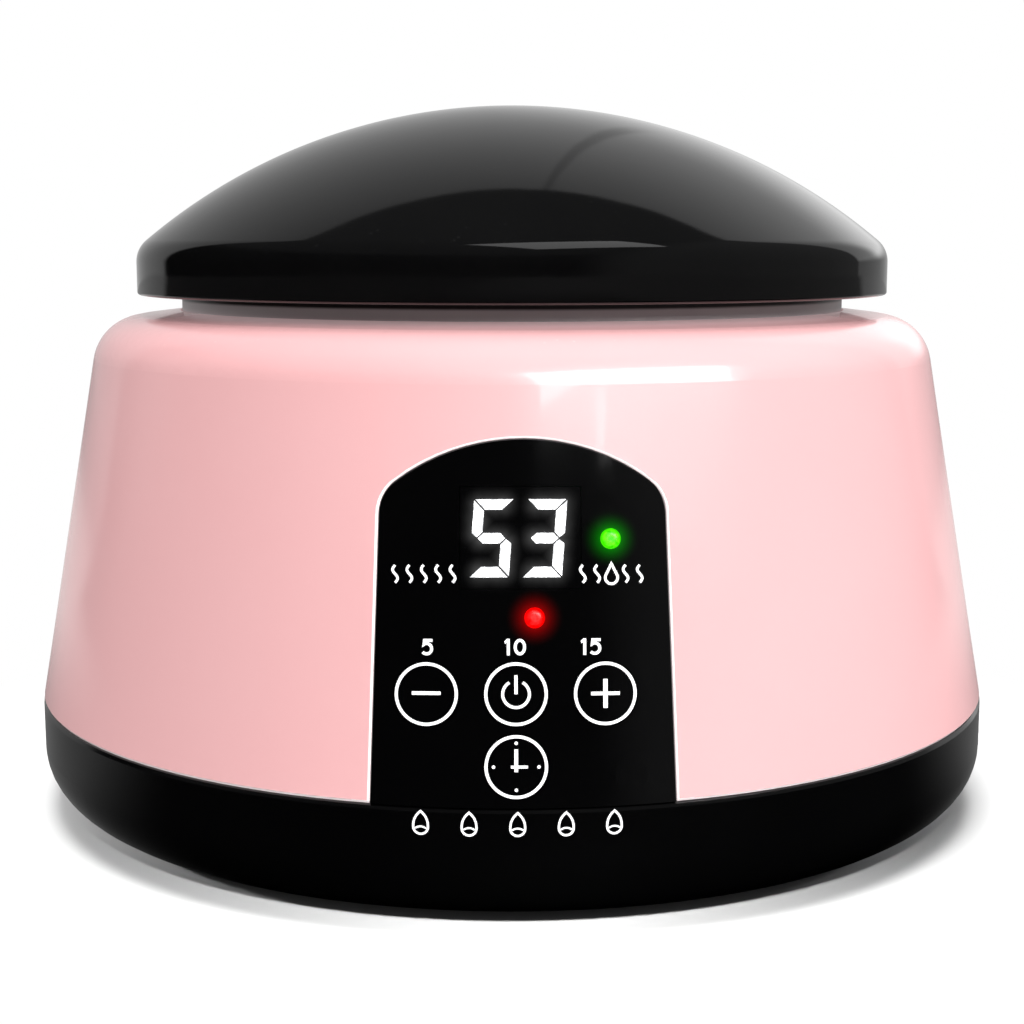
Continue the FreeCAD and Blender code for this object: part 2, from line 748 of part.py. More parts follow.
def base_shell():
    """Black base: rounded lower edge, seam lip, screw towers, standoffs, vents and inlet seat."""
    body = new_body("base_shell")
    turned(body, [
        ("0", "foot_height"),
        ("seam_radius - base_edge_radius", "foot_height", "base_edge_radius"),
        ("seam_radius", "foot_height + base_edge_radius"),
        ("seam_radius", "seam_height - seam_bevel"),
        ("seam_radius - seam_bevel", "seam_height"),
        ("lip_radius", "seam_height"),
        ("lip_top_radius", "lip_top"),
        ("lip_top_radius - lip_wall", "lip_top"),
        ("lip_radius - lip_wall", "seam_height - lip_wall"),
        ("base_inner_radius", "seam_height - 2 * lip_wall"),
        ("base_inner_radius", "foot_height + base_edge_radius", "-(base_edge_radius - base_wall)"),
        ("seam_radius - base_edge_radius", "base_floor"),
        ("0", "base_floor"),
    ])
    panel_clearance(body)
    spot = around("base_screw_circle", "corner_angle")
    tower = posts(body, [spot], "tower_radius", "base_floor - base_wall / 2", "tower_top")
    ring_of(body, [tower], "base_screw_count")
    recess = holes(body, [spot], "screw_head_radius + hole_gap", "foot_height", "head_seat")
    hole = holes(body, [spot], "screw_radius + hole_gap", "head_seat", "tower_top")
    foot_spot = around("foot_circle", "corner_angle")
    socket = holes(body, [foot_spot], "foot_radius + hole_gap", "foot_height",
                   "foot_height + foot_recess")
    ring_of(body, [recess, hole], "base_screw_count")
    ring_of(body, [socket], "foot_count")
    vent = opening(body, box_corners("vent_near", "vent_far", "-vent_width / 2", "vent_width / 2"),
                   "foot_height", "base_floor")
    ring_of(body, [vent], "vent_count")
    half, front, back = standoff_places()
    stand_spots = [(half, front), ("-" + half, front), (half, back), ("-" + half, back)]
    posts(body, stand_spots, "standoff_radius", "base_floor - base_wall / 2", "pcb_low")
    holes(body, stand_spots, "screw_radius - screw_grip", "base_floor", "pcb_low")
    inlet_seat(body)
    return node(body, "base_shell")


def panel_clearance(body):
    """Gap in the lip behind the control panel."""
    sketch = new_sketch(body, "YZ_Plane")
    outline(sketch, box_corners("-base_inner_radius", "-lip_top_radius + 3 * lip_wall",
                                "seam_height - 2 * lip_wall", "lip_top + lip_wall"))
    gap = body.newObject("PartDesign::Groove", "panel_clearance")
    gap.Profile = sketch
    gap.ReferenceAxis = (sketch, ["V_Axis"])
    gap.Midplane = True
    bind(gap, "Angle", "2 * asin((panel_half_width + rebate_reach + 2 * lip_gap) / lip_radius)")
    body.Tip = gap


def standoff_places():
    return "(pcb_half - standoff_inset)", "(pcb_front + standoff_inset)", "(pcb_back - standoff_inset)"


def inlet_seat(body):
    """Flat-bottomed recess with a thicker wall behind it, and the inlet's opening."""
    plate(body, box_corners("-inlet_flange_width / 2 - lip_wall",
                            "inlet_flange_width / 2 + lip_wall",
                            "inlet_pad_inner", "inlet_flat + hole_gap"),
          "inlet_z - inlet_flange_height / 2 - lip_wall", "seam_height - seam_bevel")
    opening(body, box_corners("-inlet_flange_width / 2 - hole_gap",
                              "inlet_flange_width / 2 + hole_gap",
                              "inlet_flat", "seam_radius + cut_margin"),
            "inlet_z - inlet_flange_height / 2 - hole_gap",
            "inlet_z + inlet_flange_height / 2 + hole_gap")
    opening(body, box_corners("-inlet_width / 2 - hole_gap", "inlet_width / 2 + hole_gap",
                              "inlet_pad_inner - cut_margin", "inlet_flat + cut_margin"),
            "inlet_z - inlet_height / 2 - hole_gap", "inlet_z + inlet_height / 2 + hole_gap")


# --- tub, bowl, tray ----------------------------------------------------------------------

def inner_tub():
    """Stepped tub whose collar stands proud of the deck; its floor holds the heater plate."""
    body = new_body("inner_tub")
    turned(body, [
        ("floor_hole", "tub_floor_height"),
        ("tub_floor_radius + tub_wall", "tub_floor_height"),
        ("bowl_ledge_inner + tub_wall", "bowl_ledge - tub_wall"),
        ("tray_ledge_inner + tub_wall", "bowl_ledge - tub_wall"),
        ("tray_ledge_inner + tub_wall", "tray_ledge - tub_wall"),
        ("collar_radius", "tray_ledge - tub_wall"),
        ("collar_radius", "collar_top"),
        ("collar_inner", "collar_top"),
        ("collar_inner", "tray_ledge"),
        ("tray_ledge_inner", "tray_ledge"),
        ("tray_ledge_inner", "bowl_ledge"),
        ("bowl_ledge_inner", "bowl_ledge"),
        ("tub_floor_radius", "tub_floor_top"),
        ("floor_hole", "tub_floor_top"),
    ])
    finish_edges(body, "Fillet", "lid_lower_round", ring_edge("collar_radius", "collar_top"))
    near, far = "bowl_ledge_inner + tub_wall / 2", "lug_circle + lug_width / 2"
    lug = plate(body, box_corners(near, far, "-lug_width / 2", "lug_width / 2"),
                "lug_low", "lug_top")
    hole = holes(body, [around("lug_circle", 0)], "screw_radius + hole_gap", "lug_low", "lug_top")
    ring_of(body, [lug, hole], "lug_count")
    clamp_spots = [("clamp_hole_place", "0"), ("-clamp_hole_place", "0")]
    posts(body, clamp_spots, "clamp_boss_radius", "ptc_low", "tub_floor_height + tub_wall / 2")
    holes(body, clamp_spots, "screw_radius - screw_grip", "ptc_low", "tub_floor_height")
    return node(body, "inner_tub")


def deck_gasket():
    """Soft ring between the collar and the deck's underside."""
    body = new_body("deck_gasket")
    low = "deck_hole_height - deck_wall - tub_wall"
    outer = "deck_hole + tub_wall"
    turned(body, [
        ("collar_radius", low),
        (outer, low),
        (outer, "deck_hole_height - deck_wall - tub_wall * tan(deck_slope)"),
        ("deck_hole", "deck_hole_height - deck_wall"),
        ("collar_radius", "deck_hole_height - deck_wall"),
    ])
    return node(body, "deck_gasket")


def steam_bowl():
    """Aluminium bowl for the remover; its foot stands on the heater plate, its rim on a ledge."""
    body = new_body("steam_bowl")
    turned(body, [
        ("0", "plate_top"),
        ("bowl_floor_radius", "plate_top"),
        ("bowl_rim_inner + bowl_wall", "bowl_rim_low"),
        ("bowl_rim_radius", "bowl_rim_low"),
        ("bowl_rim_radius", "bowl_rim_low + bowl_wall"),
        ("bowl_rim_inner", "bowl_rim_low + bowl_wall"),
        ("bowl_floor_radius - bowl_wall", "plate_top + bowl_wall"),
        ("0", "plate_top + bowl_wall"),
    ])
    finish_edges(body, "Fillet", "bowl_foot_round",
                 ring_edge("bowl_floor_radius", "plate_top"))
    finish_edges(body, "Fillet", "bowl_foot_round - bowl_wall",
                 ring_edge("bowl_floor_radius - bowl_wall", "plate_top + bowl_wall"))
    return node(body, "steam_bowl")


def slot_corners(spread):
    """Slot along +Y with round ends, wider by spread all round."""
    half = f"(slot_radius + {spread})"
    return [(half, "slot_near"), (half, "slot_far", "round"), ("-" + half, "slot_far"),
            ("-" + half, "slot_near", "round")]


slot_angles = [f"{step} * slot_angle" for step in (-2, -1, 0, 1, 2)]


def finger_slots(body, spread, low, high, cutting):
    for angle in slot_angles:
        make = opening if cutting else plate
        make(body, turned_about(slot_corners(spread), angle), low, high)


def finger_tray():
    """Round tray with five lipped finger slots and a bar to lift it by."""
    body = new_body("finger_tray")
    posts(body, [("0", "0")], "tray_radius", "tray_low", "tray_top")
    finger_slots(body, "slot_lip", "tray_low", "tray_top + slot_lip_rise", False)
    finger_slots(body, "0", "tray_low", "tray_top + slot_lip_rise", True)
    plate(body, box_corners("-grip_length / 2", "grip_length / 2", "-grip_place - grip_width / 2",
                            "-grip_place + grip_width / 2"), "tray_low", "tray_top + grip_rise")
    finish_edges(body, "Fillet", "grip_round", grip_edge)
    return node(body, "finger_tray")


def grip_edge(edge):
    box = edge.BoundBox
    top = size("tray_top + grip_rise")
    return box.ZMax > top - edge_tolerance and box.YMax < 0


def finger_mat():
    """Soft mat under the tray, with an opening for each finger."""
    body = new_body("finger_mat")
    posts(body, [("0", "0")], "mat_radius", "mat_low", "tray_low")
    finger_slots(body, "(-mat_slot_inset)", "mat_low", "tray_low", True)
    return node(body, "finger_mat")


# --- heater -------------------------------------------------------------------------------

def heater_plate():
    body = new_body("heater_plate")
    turned(body, [
        ("0", "plate_low"),
        ("plate_rim", "plate_low"),
        ("plate_rim", "plate_step"),
        ("plate_radius", "plate_step"),
        ("plate_radius", "plate_top"),
        ("0", "plate_top"),
    ])
    holes(body, thermostat_ears(), "screw_radius - screw_grip", "plate_low",
          "plate_low + ear_hole_depth")
    return node(body, "heater_plate")


def thermostat_ears():
    return [("thermostat_ear", "thermostat_place"), ("-thermostat_ear", "thermostat_place")]


def heater_gasket():
    body = new_body("heater_gasket")
    turned(body, [
        ("plate_radius + gasket_gap", "plate_step"),
        ("plate_rim - gasket_gap", "plate_step"),
        ("plate_rim - gasket_gap", "tub_floor_height"),
        ("plate_radius + gasket_gap", "tub_floor_height"),
    ])
    return node(body, "heater_gasket")


def ptc_heater():
    body = new_body("ptc_heater")
    plate(body, box_corners("-ptc_length / 2", "ptc_length / 2", "-ptc_width / 2", "ptc_width / 2"),
          "ptc_low", "plate_low")
    return node(body, "ptc_heater")


def heater_clamp():
    """Steel bar that presses the heater and its plate up against the tub."""
    body = new_body("heater_clamp")
    reach = "(clamp_hole_place + clamp_width / 2)"
    plate(body, box_corners("-" + reach, reach, "-clamp_width / 2", "clamp_width / 2"),
          "clamp_low", "ptc_low")
    holes(body, [("clamp_hole_place", "0"), ("-clamp_hole_place", "0")],
          "screw_radius + hole_gap", "clamp_low", "ptc_low")
    return node(body, "heater_clamp")


def thermostat():
    """Round bimetal thermostat on its eared bracket, against the plate."""
    body = new_body("thermostat")
    spot = [("0", "thermostat_place")]
    posts(body, spot, "thermostat_radius", "plate_low - thermostat_height", "plate_low")
    plate(body, box_corners("-thermostat_ear - ear_margin", "thermostat_ear + ear_margin",
                            "thermostat_place - ear_half_width",
                            "thermostat_place + ear_half_width"),
          "plate_low - clamp_thickness", "plate_low")
    holes(body, thermostat_ears(), "screw_radius + hole_gap", "plate_low - clamp_thickness",
          "plate_low")
    return node(body, "thermostat")


def ntc_sensor():
    body = new_body("ntc_sensor")
    posts(body, [("0", "-sensor_place")], "sensor_radius", "plate_low - sensor_height", "plate_low")
    return node(body, "ntc_sensor")


def thermal_fuse():
    """Thermal cut-out that lies against the plate in front of the heater."""
    fuse = doc.addObject("Part::Cylinder", "thermal_fuse")
    bind(fuse, "Radius", "fuse_radius")
    bind(fuse, "Height", "fuse_length")
    fuse.Placement.Rotation = FreeCAD.Rotation(FreeCAD.Vector(0, 1, 0), 90)
    bind(fuse, "Placement.Base.x", "sensor_radius + fuse_gap")
    bind(fuse, "Placement.Base.y", "-sensor_place")
    bind(fuse, "Placement.Base.z", "plate_low - fuse_radius")
    return node(fuse, "thermal_fuse")


# --- lid ----------------------------------------------------------------------------------

def lid_shell():
    """Glossy dome with a short upright rim and screw bosses inside."""
    body = new_body("lid_shell")
    turned(body, [
        ("0", "lid_top"),
        ("0", "lid_top - lid_wall", "-inner_dome_radius"),
        ("lid_inner", "inner_dome_edge"),
        ("lid_inner", "lid_bottom"),
        ("lid_radius", "lid_bottom"),
        ("lid_radius", "dome_edge", "dome_radius"),
    ])
    finish_edges(body, "Fillet", "lid_shoulder_radius", ring_edge("lid_radius", "dome_edge"))
    finish_edges(body, "Fillet", "lid_lower_round", ring_edge("lid_radius", "lid_bottom"))
    spot = around("lid_boss_circle", "corner_angle")
    sketch = new_sketch(body, "XY_Plane", "liner_top")
    circles(sketch, [spot], "lid_boss_radius")
    boss = body.newObject("PartDesign::Pad", "lid_boss")
    boss.Profile = sketch
    boss.Type = "UpToFirst"
    body.Tip = boss
    hole = holes(body, [spot], "screw_radius - screw_grip", "liner_top", "liner_top + screw_length")
    ring_of(body, [boss, hole], "lid_boss_count")
    return node(body, "lid_shell")


def lid_liner():
    """Flat inner cover of the lid, with a skirt that drops inside the collar."""
    body = new_body("lid_liner")
    turned(body, [
        ("0", "liner_low"),
        ("skirt_inner", "liner_low"),
        ("skirt_inner", "liner_low - skirt_height"),
        ("skirt_outer", "liner_low - skirt_height"),
        ("skirt_outer", "liner_low"),
        ("liner_radius", "liner_low"),
        ("liner_radius", "liner_top"),
        ("0", "liner_top"),
    ])
    hole = holes(body, [around("lid_boss_circle", "corner_angle")], "screw_radius + hole_gap",
                 "liner_low", "liner_top")
    ring_of(body, [hole], "lid_boss_count")
    return node(body, "lid_liner")


def lid_seal():
    body = new_body("lid_seal")
    turned(body, [
        ("seal_outer - seal_width", "seal_low"),
        ("seal_outer", "seal_low"),
        ("seal_outer", "liner_low"),
        ("seal_outer - seal_width", "liner_low"),
    ])
    return node(body, "lid_seal")


# --- control panel ------------------------------------------------------------------------

panel_span = "(panel_top + 2 * panel_corner_radius)"


def cone(name, depth):
    """Solid cone that lies a given depth under the housing's outer face."""
    solid = doc.addObject("Part::Cone", name)
    slant = f"({depth}) / cos(wall_slope)"
    bind(solid, "Radius1", f"seam_radius + seam_gap * tan(wall_slope) - {slant}")
    bind(solid, "Radius2", f"seam_radius - {panel_span} * tan(wall_slope) - {slant}")
    bind(solid, "Height", f"{panel_span} + seam_gap")
    bind(solid, "Placement.Base.z", "seam_height - seam_gap")
    return solid


def arch_block(name, spread, low):
    """Arched block that reaches from inside the housing out through its front."""
    body = new_body(name)
    sketch = new_sketch(body)
    arch(sketch, spread, low)
    pad = body.newObject("PartDesign::Pad", name + "_pad")
    pad.Profile = sketch
    bind(pad, "Length", "seam_radius + front_reach")
    body.Tip = pad
    return body


def joined(kind, name, first, second):
    result = doc.addObject("Part::" + kind, name)
    result.Base = first
    result.Tool = second
    return result


key_spots = {
    "key_minus": ("minus_u", "key_row_v"),
    "key_power": ("power_u", "key_row_v"),
    "key_plus": ("plus_u", "key_row_v"),
    "key_timer": ("power_u", "timer_v"),
}
led_spots = {"led_green": ("green_u", "green_v"), "led_red": ("red_u", "red_v")}
post_spots = [("post_u", "post_low"), ("-post_u", "post_low"),
              ("post_u", "post_high"), ("-post_u", "post_high")]


def window_corners(width, height):
    return box_corners(f"window_u - {width} / 2", f"window_u + {width} / 2",
                       f"window_v - {height} / 2", f"window_v + {height} / 2")


def control_panel():
    """Arched panel, rebated behind the housing's edge, with key sleeves and board posts."""
    front = cone("panel_front", "panel_recess")
    plug = joined("Common", "panel_plug", arch_block("panel_block", "(-panel_gap)", "panel_low"),
                  front)
    rebate = cone("rebate_front", "rebate_depth")
    flange_low = "lip_top + lip_gap"
    flange = joined("Common", "panel_flange",
                    arch_block("flange_block", "rebate_reach", flange_low), rebate)
    back = cone("panel_back_face", "panel_back")
    faced = joined("Cut", "panel_skin", joined("Fuse", "panel_blank", plug, flange), back)

    fittings = new_body("panel_fittings", True)
    posts(fittings, list(key_spots.values()), "sleeve_radius + sleeve_wall",
          "-key_stop_depth", "0")
    posts(fittings, post_spots, "post_radius", "-board_depth", "0")
    trimmed = joined("Common", "panel_fittings_trimmed", fittings, front)
    whole = joined("Fuse", "panel_whole", faced, trimmed)

    cuts = new_body("panel_cuts", True)
    posts(cuts, list(key_spots.values()), "sleeve_radius", "-board_depth", "key_radius")
    posts(cuts, list(led_spots.values()), "led_radius + led_gap", "-board_depth", "key_radius")
    plate(cuts, window_corners("window_width", "window_height"), "-board_depth", "key_radius")
    posts(cuts, post_spots, "screw_radius - screw_grip", "-board_depth - cut_margin",
          "-board_depth + post_hole_depth")
    result = joined("Cut", "control_panel", whole, cuts)
    return node(result, "control_panel")


def display_window():
    """Smoked window that follows the panel's curve."""
    block = new_body("window_block", True)
    plate(block, window_corners("(window_width - 2 * window_gap)",
                                "(window_height - 2 * window_gap)"), "-board_depth", "key_radius")
    front = cone("window_front", "panel_recess")
    back = cone("window_back", "panel_recess + window_thickness")
    result = joined("Cut", "display_window", joined("Common", "window_skin", block, front), back)
    return node(result, "display_window")


def display_module():
    body = new_body("display_module", True)
    plate(body, window_corners("display_width", "display_height"), "-board_depth",
          "-display_depth")
    return node(body, "display_module")


def key(name):
    """Round push key: cap flush with the panel, stop ring and plunger."""
    body = new_body(name, True)
    spot = [key_spots[name]]
    posts(body, spot, "key_radius", "-key_stop_depth - seat_gap", "key_radius")
    posts(body, spot, "key_stop_radius", "-key_stop_depth - seat_gap - key_stop_thickness",
          "-key_stop_depth - seat_gap")
    posts(body, spot, "plunger_radius", "-plunger_tip",
          "-key_stop_depth - seat_gap - key_stop_thickness")
    front = cone(name + "_face", "panel_recess")
    return node(joined("Common", name, body, front), name)


def led(name):
    """Round lamp with a domed tip, level with the panel."""
    body = new_body(name, True)
    spot = [led_spots[name]]
    drop = f"{led_spots[name][0]}^2 / (2 * seam_radius) + panel_recess"
    flange_top = f"-({drop}) - led_length + led_flange_height"
    posts(body, spot, "led_flange_radius", f"-({drop}) - led_length", flange_top)
    posts(body, spot, "led_radius", flange_top, f"-({drop})")
    tip = size(f"-({drop})")

    def tip_edge(edge):
        return edge.BoundBox.ZMin > tip - edge_tolerance

    finish_edges(body, "Fillet", "led_tip_round", tip_edge)
    return node(body, name)


def led_spacers():
    """Spacers that carry the lamps on the board."""
    body = new_body("led_spacers", True)
    for u, v in led_spots.values():
        drop = f"{u}^2 / (2 * seam_radius) + panel_recess"
        posts(body, [(u, v)], "led_spacer_radius", "-board_depth", f"-({drop}) - led_length")
    return node(body, "led_spacers")


def tact_switches():
    body = new_body("tact_switches", True)
    for u, v in key_spots.values():
        half = "switch_size / 2"
        plate(body, box_corners(f"{u} - {half}", f"{u} + {half}", f"{v} - {half}", f"{v} + {half}"),
              "-board_depth", "-switch_top")
    holes(body, list(key_spots.values()), "plunger_radius + plunger_gap", "-plunger_bore",
          "-switch_top")
    return node(body, "tact_switches")


def control_board():
    body = new_body("control_board", True)
    plate(body, box_corners("-board_half_width", "board_half_width", "board_low", "board_high"),
          "-board_back", "-board_depth")
    holes(body, post_spots, "screw_radius + hole_gap", "-board_back", "-board_depth")
    return node(body, "control_board")


# --- power board and inlet ----------------------------------------------------------------

def power_board():
    body = new_body("power_board")
    plate(body, box_corners("-pcb_half", "pcb_half", "pcb_front", "pcb_back"), "pcb_low", "pcb_top")
    half, front, back = standoff_places()
    holes(body, [(half, front), ("-" + half, front), (half, back), ("-" + half, back)],
          "screw_radius + hole_gap", "pcb_low", "pcb_top")
    return node(body, "power_board")


block_place = ("(relay_width + block_width / 2 - 2 * part_margin)", "(pcb_back - block_depth)")


def component(name, x, y, width, depth, height):
    """Block-shaped component that stands on the power board."""
    body = new_body(name)
    plate(body, box_corners(f"{x} - {width} / 2", f"{x} + {width} / 2", f"{y} - {depth} / 2",
                            f"{y} + {depth} / 2"), "pcb_top", f"pcb_top + {height}")
    return node(body, name)


def smoothing_capacitor():
    body = new_body("smoothing_capacitor")
    posts(body, [("pcb_half / 2 + cap_radius", "pcb_front + 2.5 * cap_radius")], "cap_radius",
          "pcb_top", "pcb_top + cap_height")
    return node(body, "smoothing_capacitor")


def power_inlet():
    """Two-pole inlet: body through the wall, flange in the recess, open socket to the back."""
    body = new_body("power_inlet")
    sketch = new_sketch(body, "XY_Plane", "inlet_z - inlet_height / 2")
    outline(sketch, box_corners("-inlet_width / 2", "inlet_width / 2", "inlet_back", "inlet_flat"))
    raise_sketch(body, sketch, "0", "inlet_height")
    plate(body, box_corners("-inlet_flange_width / 2", "inlet_flange_width / 2", "inlet_flat",
                            "inlet_flat + inlet_flange_thickness"),
          "inlet_z - inlet_flange_height / 2", "inlet_z + inlet_flange_height / 2")
    face = "(inlet_flat + inlet_flange_thickness)"
    opening(body, box_corners("-socket_width / 2", "socket_width / 2", f"{face} - socket_depth",
                              f"{face} + cut_margin"),
            "inlet_z - socket_height / 2", "inlet_z + socket_height / 2")
    return node(body, "power_inlet")


def inlet_pins():
    pins = []
    for side in (-1, 1):
        pin = doc.addObject("Part::Cylinder", "inlet_pin")
        bind(pin, "Radius", "pin_radius")
        bind(pin, "Height", "pin_length")
        pin.Placement.Rotation = FreeCAD.Rotation(FreeCAD.Vector(1, 0, 0), -90)
        bind(pin, "Placement.Base.x", f"{side} * pin_pitch / 2")
        bind(pin, "Placement.Base.y", "inlet_flat + inlet_flange_thickness - socket_depth")
        bind(pin, "Placement.Base.z", "inlet_z")
        pins.append(pin)
    return node(joined("Fuse", "inlet_pins", pins[0], pins[1]), "inlet_pins")


def rubber_feet():
    body = new_body("rubber_feet")
    foot = posts(body, [around("foot_circle", "corner_angle")], "foot_radius", "0",
                 "foot_height + foot_recess")
    ring_of(body, [foot], "foot_count")
    return node(body, "rubber_feet")


def lead(points):
    """Round lead along straight runs joined by tangent arcs."""
    bend = size("lead_bend")
    spots = [FreeCAD.Vector(*[size(value) for value in point]) for point in points]
    edges = []
    here = spots[0]
    for before, corner, after in zip(spots, spots[1:], spots[2:]):
        into = (corner - before).normalize()
        out = (after - corner).normalize()
        half_turn = into.getAngle(out) / 2
        trim = bend * math.tan(half_turn)
        start = corner - into * trim
        end = corner + out * trim
        middle = corner + (out - into).normalize() * (bend / math.cos(half_turn) - bend)
        edges.append(Part.LineSegment(here, start).toShape())
        edges.append(Part.Arc(start, middle, end).toShape())
        here = end
    edges.append(Part.LineSegment(here, spots[-1]).toShape())
    path = Part.Wire(edges)
    along = (spots[1] - spots[0]).normalize()
    ring = Part.Wire(Part.makeCircle(size("lead_radius"), spots[0], along))
    tube = path.makePipeShell([ring], True, False)
    expected = math.pi * size("lead_radius") ** 2 * path.Length
    print(f"lead bend {bend:.1f}, volume over section times length {tube.Volume / expected:.4f}")
    return tube


def leads(name, routes):
    """Loose-ended leads as one sub-part of separate tubes."""
    holder = doc.addObject("Part::Feature", name)
    holder.Shape = Part.makeCompound([lead(points) for points in routes])
    return node(holder, name)


def mains_leads():
    """Two leads from the inlet's back to the terminal block."""
    level = "inlet_z"
    near = "pcb_back + lead_radius + lead_clear"
    far = f"{near} + lead_pitch"
    block_x = block_place[0]
    block_back = f"{block_place[1]} + block_width / 4"
    left = [("-pin_pitch / 2", "inlet_back", level), ("-pin_pitch / 2", near, level),
            (f"{block_x} - lead_pitch / 2", near, level),
            (f"{block_x} - lead_pitch / 2", block_back, level)]
    right = [("pin_pitch / 2", "inlet_back", level), ("pin_pitch / 2", far, level),
             (f"{block_x} + lead_pitch / 2", far, level),
             (f"{block_x} + lead_pitch / 2", block_back, level)]
    return leads("mains_leads", [left, right])


def heater_leads():
    """Two leads from the heater's end down to the power board."""
    level = "ptc_low + ptc_thickness / 2"
    start = "ptc_length / 2"
    landing = "pcb_front + heater_lead_landing"
    routes = []
    for step in (0, 1):
        across = f"{start} + heater_lead_reach + {step} * lead_pitch"
        side = f"ptc_width / 3 - {step} * lead_pitch"
        routes.append([(start, side, level), (across, side, level), (across, landing, level),
                       (across, landing, "pcb_top")])
    return leads("heater_leads", routes)


def panel_lead():
    """Flat ribbon from the back of the control board to the power board."""
    body = new_body("panel_lead")
    sketch = new_sketch(body, "YZ_Plane", "-ribbon_width / 2")
    start_y = "(-seam_radius + ribbon_start * sin(wall_slope) + board_back * cos(wall_slope))"
    start_z = "(seam_height + ribbon_start * cos(wall_slope) - board_back * sin(wall_slope))"
    run_y, run_z = "ribbon_run * cos(wall_slope)", "ribbon_run * sin(wall_slope)"
    thick_y, thick_z = "ribbon_thickness * sin(wall_slope)", "ribbon_thickness * cos(wall_slope)"
    outline(sketch, [
        (start_y, start_z),
        (f"{start_y} - {thick_y}", f"{start_z} - {thick_z}"),
        (f"{start_y} - {thick_y} + {run_y}", f"{start_z} - {thick_z} - {run_z}"),
        ("-ribbon_drop", "pcb_top"),
        ("pcb_front + ribbon_landing", "pcb_top"),
        ("pcb_front + ribbon_landing", "pcb_top + ribbon_thickness"),
        ("-ribbon_drop + ribbon_thickness / 2", "pcb_top + ribbon_thickness"),
        (f"{start_y} + {run_y}", f"{start_z} - {run_z}"),
    ])
    raise_sketch(body, sketch, "0", "ribbon_width")
    return node(body, "panel_lead")


def all_screws():
    screws("base_screws", [around("base_screw_circle", "corner_angle")], "head_seat", 1,
           "(tower_top - head_seat + seam_gap + screw_length - screw_tip_gap)", count="base_screw_count")
    screws("tub_screws", [around("lug_circle", 0)], "lug_low", 1,
           "(lug_thickness + screw_length - screw_tip_gap)", count="lug_count")
    screws("lid_screws", [around("lid_boss_circle", "corner_angle")], "liner_low", 1,
           "(liner_thickness + screw_length - screw_tip_gap)", count="lid_boss_count")
    screws("clamp_screws", [("clamp_hole_place", "0"), ("-clamp_hole_place", "0")], "clamp_low", 1,
           "(clamp_thickness + screw_length / 2)")
    screws("thermostat_screws", thermostat_ears(), "(plate_low - clamp_thickness)", 1,
           "(clamp_thickness + plate_thickness / 2)")
    screws("control_board_screws", post_spots, "-board_back", 1,
           "(board_thickness + screw_length / 2)", on_panel=True)
    half, front, back = standoff_places()
    screws("power_board_screws",
           [(half, front), ("-" + half, front), (half, back), ("-" + half, back)], "pcb_top", -1,
           "(pcb_thickness + standoff_height - screw_tip_gap)")


upper_shell()
base_shell()
inner_tub()
deck_gasket()
steam_bowl()
finger_tray()
finger_mat()
heater_plate()
heater_gasket()
ptc_heater()
heater_clamp()
thermostat()
ntc_sensor()
thermal_fuse()
lid_shell()
lid_liner()
lid_seal()
control_panel()
display_window()
display_module()
for name in key_spots:
    key(name)
for name in led_spots:
    led(name)
led_spacers()
tact_switches()
control_board()
power_board()
component("transformer", "(transformer_width / 2 - pcb_half + part_margin)",
          "((pcb_front + pcb_back) / 2)", "transformer_width", "transformer_depth",
          "transformer_height")
component("relay", "(relay_width / 2)", "(pcb_back - relay_depth)", "relay_width", "relay_depth",
          "relay_height")
component("terminal_block", *block_place, "block_depth", "block_width / 2", "block_height")
component("board_fuse", "(-relay_width)", "(pcb_front + cap_radius + part_margin)", "block_width",
          "cap_radius", "cap_radius")
smoothing_capacitor()
mains_leads()
heater_leads()
panel_lead()
power_inlet()
inlet_pins()
rubber_feet()
all_screws()
doc.recompute()

faults = [item.Name for item in doc.Objects if {"Invalid", "Error"} & set(item.State)]
for item in nodes:
    shape = item.Shape
    if shape.isNull() or not shape.isValid() or not shape.Solids:
        faults.append(item.Label)
if faults:
    raise RuntimeError("failed objects: " + ", ".join(faults))
for item in nodes:
    item.Shape.exportStep("parts/" + item.Label + ".step")
    print(f"{item.Label:24s} solids {len(item.Shape.Solids):2d} volume {item.Shape.Volume:10.1f}")
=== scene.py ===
import math

import bmesh
import bpy
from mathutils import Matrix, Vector


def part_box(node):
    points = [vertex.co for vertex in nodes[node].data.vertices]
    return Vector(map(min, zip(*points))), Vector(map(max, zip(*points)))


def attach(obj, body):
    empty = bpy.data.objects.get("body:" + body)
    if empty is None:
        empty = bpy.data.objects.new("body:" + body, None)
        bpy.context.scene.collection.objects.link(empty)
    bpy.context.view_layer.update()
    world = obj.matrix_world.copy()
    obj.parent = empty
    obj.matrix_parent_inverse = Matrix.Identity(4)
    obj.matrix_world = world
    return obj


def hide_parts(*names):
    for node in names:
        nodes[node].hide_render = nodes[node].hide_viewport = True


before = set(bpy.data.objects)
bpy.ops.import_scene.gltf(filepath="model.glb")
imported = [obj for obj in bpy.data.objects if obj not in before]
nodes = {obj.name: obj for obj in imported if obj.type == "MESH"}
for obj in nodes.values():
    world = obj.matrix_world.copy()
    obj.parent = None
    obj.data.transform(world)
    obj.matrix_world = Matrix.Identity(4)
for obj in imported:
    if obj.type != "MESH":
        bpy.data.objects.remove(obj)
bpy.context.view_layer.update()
print("frame loaded:", len(nodes), "nodes")

mm = 0.001  # the machine's own sizes are in millimetres, the stage's in metres
scene = bpy.context.scene
scene.view_settings.view_transform = "Standard"


# camera: low in front of the panel, a touch left of its middle

cameraSpec = {"distance": 0.3724, "height": 0.1111, "turn": -1.15, "aimHeight": 0.0556, "lens": 64.0,
              "nearest": 0.01}


